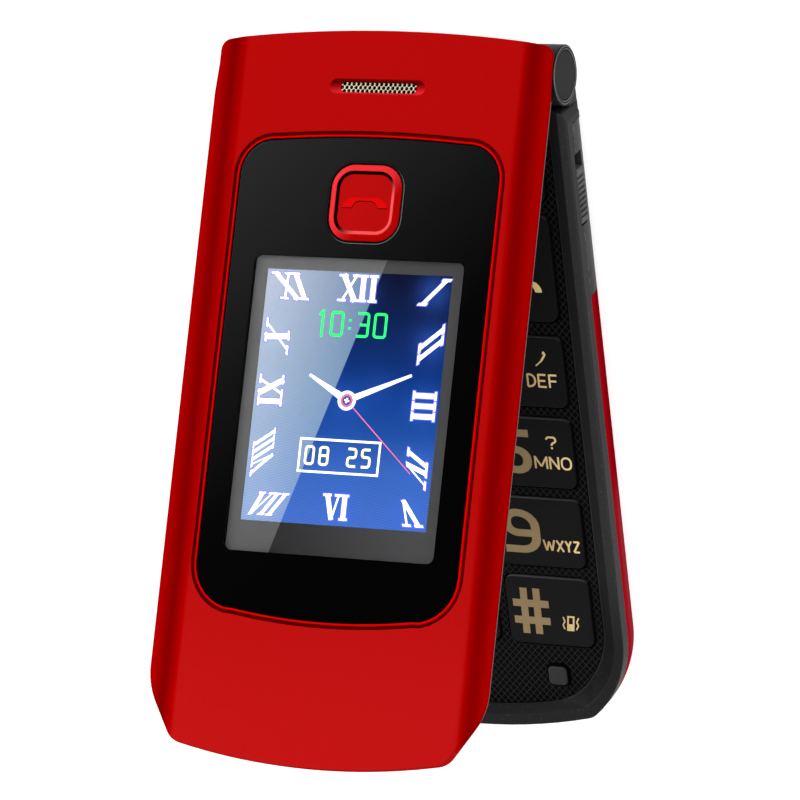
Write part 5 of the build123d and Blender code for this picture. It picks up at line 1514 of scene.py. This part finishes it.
# For the pieces that keep their own shape: the shared finish of each, or its own plain one as a
# name, a screen colour, a roughness, a gloss, and for some how much the colour varies and its grain.
SHARED = {
    "housing": ["front_housing"], "rear": ["rear_housing"],
    "crimson": ["battery_cover"], "ribs": ["slide_switch"],
    "black": ["battery_contacts", "camera_module", "loudspeaker", "ringer", "receiver"],
    "steel": ["usb_socket", "sim_holder", "vibration_motor", "microphone", "hinge_shaft", "hinge_module",
              "hinge_spring", "lid_magnet", "lid_screws", "case_screws"],
}
OWN = {
    "inner_glass": ("inner_window", (10, 10, 12), 0.15, 0.3),
    "inner_display": ("screen_black", (12, 12, 16), 0.2, 0.3),
    "camera_window": ("camera_glass", (8, 8, 12), 0.12, 0.4),
    "torch_lens": ("frosted", (220, 222, 215), 0.35, 0.4),
    "keypad_mat": ("mat_rubber", (196, 196, 192), 0.6, 0.3),
    "dome_sheet": ("film", (225, 220, 205), 0.4, 0.4),
    "main_board": ("green_board", (18, 84, 44), 0.4, 0.4, 0.2, 900.0),
    "battery": ("battery_sleeve", (64, 66, 72), 0.45, 0.3),
    "antenna": ("ceramic", (222, 214, 190), 0.55, 0.3),
    "torch_led": ("led_yellow", (228, 214, 120), 0.3, 0.4),
    "hinge_flex": ("amber_film", (196, 120, 40), 0.35, 0.4),
}


class PHONE_OT_frame_finishes(Operator, Maker):
    """Gives the pieces that keep their own shape a finish"""
    bl_idname = "phone.frame_finishes"
    bl_label = "Frame Finishes"

    def execute(self, context):
        looks = {name: self.finishes[finish] for finish, names in SHARED.items() for name in names}
        for name, (look, shade, *rest) in OWN.items():
            looks[name] = moulded(look, linear(shade), *rest)
        looks["lid_board"] = looks["main_board"]
        looks["lid_housing"] = edged_housing()
        looks["hinge_bush"] = moulded("brass", linear((206, 168, 92)), 0.3, 0.5, Metallic=1.0)
        for name, look in looks.items():
            materials = frame["nodes"][name].data.materials
            materials.clear()
            materials.append(look)
        return {"FINISHED"}


# ---------------------------------------------------------------- stage
# The camera: its place in metres, its lens over its sensor in millimetres, and the ways that lie
# right, down and away in its picture.
CAMERA_PLACE, LENS, SENSOR = (0.292663, 0.257662, 0.602984), 197.56, 36.0
CAMERA_WAYS = ((0.905996, -0.116425, -0.40696), (0.051576, -0.923902, 0.379137),
               (-0.420133, -0.364486, -0.831047))
FLOOR_HALF, FLOOR_POINTS = 3.0, 13


class PHONE_OT_stage(Operator, Maker):
    """Sets up the floor, the lights and the camera"""
    bl_idname = "phone.stage"
    bl_label = "Stage"

    def execute(self, context):
        scene = context.scene
        scene.view_settings.view_transform = "Standard"
        side = np.linspace(-FLOOR_HALF, FLOOR_HALF, FLOOR_POINTS)
        shell = Shell().skin(np.stack(np.meshgrid(side, side, 0.0, indexing="ij"), -1)[:, :, 0], closed=False)
        mesh = bpy.data.meshes.new("floor")
        mesh.from_pydata(np.concatenate(shell.rows).tolist(), [], shell.faces)
        floor = bpy.data.objects.new("floor", mesh)
        scene.collection.objects.link(floor)
        mesh.materials.append(self.floor_paint())
        self.light("key", (-0.92, 0.72, 0.40), 0.7, 7.5, True)
        self.light("front", (0.60, 0.10, 1.45), 1.2, 8.5, False)
        world = bpy.data.worlds.new("studio")
        scene.world = world
        world.use_nodes = True
        self.sky(world.node_tree)
        lens = bpy.data.cameras.new("camera")
        lens.lens, lens.sensor_width, lens.clip_start = LENS, SENSOR, 0.01
        camera = bpy.data.objects.new("camera", lens)
        right, down, away = np.array(CAMERA_WAYS)
        camera.matrix_world = Matrix.Translation(CAMERA_PLACE) @ turned(right, -down, -away)
        scene.collection.objects.link(camera)
        scene.camera = camera
        return {"FINISHED"}

    def floor_paint(self):
        """Pale floor that also shows white to the camera and in reflections, and keeps shadows."""
        made = Paint("pale_floor")
        shade = made.drift(made.noise(60.0), (0.84, 0.84, 0.84), (0.86, 0.86, 0.86))
        ray = made.add("LightPath").outputs
        seen = made.math("MAXIMUM", made.math("MAXIMUM", ray["Is Camera Ray"], ray["Is Glossy Ray"]),
                         ray["Is Transmission Ray"])
        return made.set(Base_Color=shade, Roughness=0.9, Specular_IOR_Level=0.05,
                        Emission_Color=(1.0, 1.0, 1.0),
                        Emission_Strength=made.math("MULTIPLY", seen, 0.72)).material

    def sky(self, tree):
        """White at the horizon and below, a plain grey above."""
        way = tree.nodes.new("ShaderNodeTexCoord")
        split = tree.nodes.new("ShaderNodeSeparateXYZ")
        fall = tree.nodes.new("ShaderNodeMapRange")
        back = tree.nodes["Background"]
        tree.links.new(way.outputs["Generated"], split.inputs[0])
        tree.links.new(split.outputs["Z"], fall.inputs[0])
        for socket, value in ((1, 0.02), (2, 0.45), (3, 1.0), (4, 0.3)):
            fall.inputs[socket].default_value = value
        tree.links.new(fall.outputs[0], back.inputs["Strength"])
        back.inputs["Color"].default_value = (1.0, 1.0, 1.0, 1.0)

    def light(self, name, place, size, power, gloss):
        lamp = bpy.data.lights.new(name, "AREA")
        lamp.shape, lamp.size, lamp.energy = "DISK", size, power
        holder = bpy.data.objects.new(name, lamp)
        way = np.array((0.0, 0.0, 0.03)) - place
        holder.matrix_world = Matrix.Translation(place) @ look_along(way)
        holder.visible_glossy = gloss
        bpy.context.scene.collection.objects.link(holder)


def turned(right, up, back):
    """The turn that carries X, Y and Z to three unit vectors."""
    return Matrix(np.column_stack((right, up, back)).tolist()).to_4x4()


def look_along(way):
    """A turn whose -Z points along a vector: the cross product with up gives its X."""
    back = -unit(np.asarray(way, float))
    right = unit(np.cross((0.0, 0.0, 1.0), back))
    return turned(right, np.cross(back, right), back)


STEPS = (PHONE_OT_stage, PHONE_OT_frame_finishes, PHONE_OT_lid_cover, PHONE_OT_outer_glass,
         PHONE_OT_outer_display, PHONE_OT_answer_button, PHONE_OT_speaker_mesh, PHONE_OT_keypad_panel,
         PHONE_OT_keys, PHONE_OT_hinge_caps)


class PHONE_PT_sidebar(Panel):
    """Lists the pieces of the phone"""
    bl_idname = "PHONE_PT_sidebar"
    bl_label = "Flip Phone"
    bl_space_type = "VIEW_3D"
    bl_region_type = "UI"
    bl_category = "Flip Phone"

    def draw(self, context):
        settings = context.scene.flip_phone
        for group in (settings.lid, settings.display, settings.button, settings.keypad, settings.colours):
            box = self.layout.box()
            for name in group.__annotations__:
                box.prop(group, name)
        self.layout.prop(settings, "smooth")
        for step in STEPS:
            self.layout.operator(step.bl_idname)


CLASSES = (LidSizes, DisplaySizes, ButtonSizes, KeypadSizes, Colours, PhoneSettings, *STEPS, PHONE_PT_sidebar)


def register():
    for item in CLASSES:
        bpy.utils.register_class(item)
    bpy.types.Scene.flip_phone = PointerProperty(type=PhoneSettings)


def unregister():
    del bpy.types.Scene.flip_phone
    for item in reversed(CLASSES):
        bpy.utils.unregister_class(item)


def main():
    register()
    for step in STEPS:
        group, name = step.bl_idname.split(".")
        getattr(getattr(bpy.ops, group), name)()


if __name__ == "__main__":
    main()
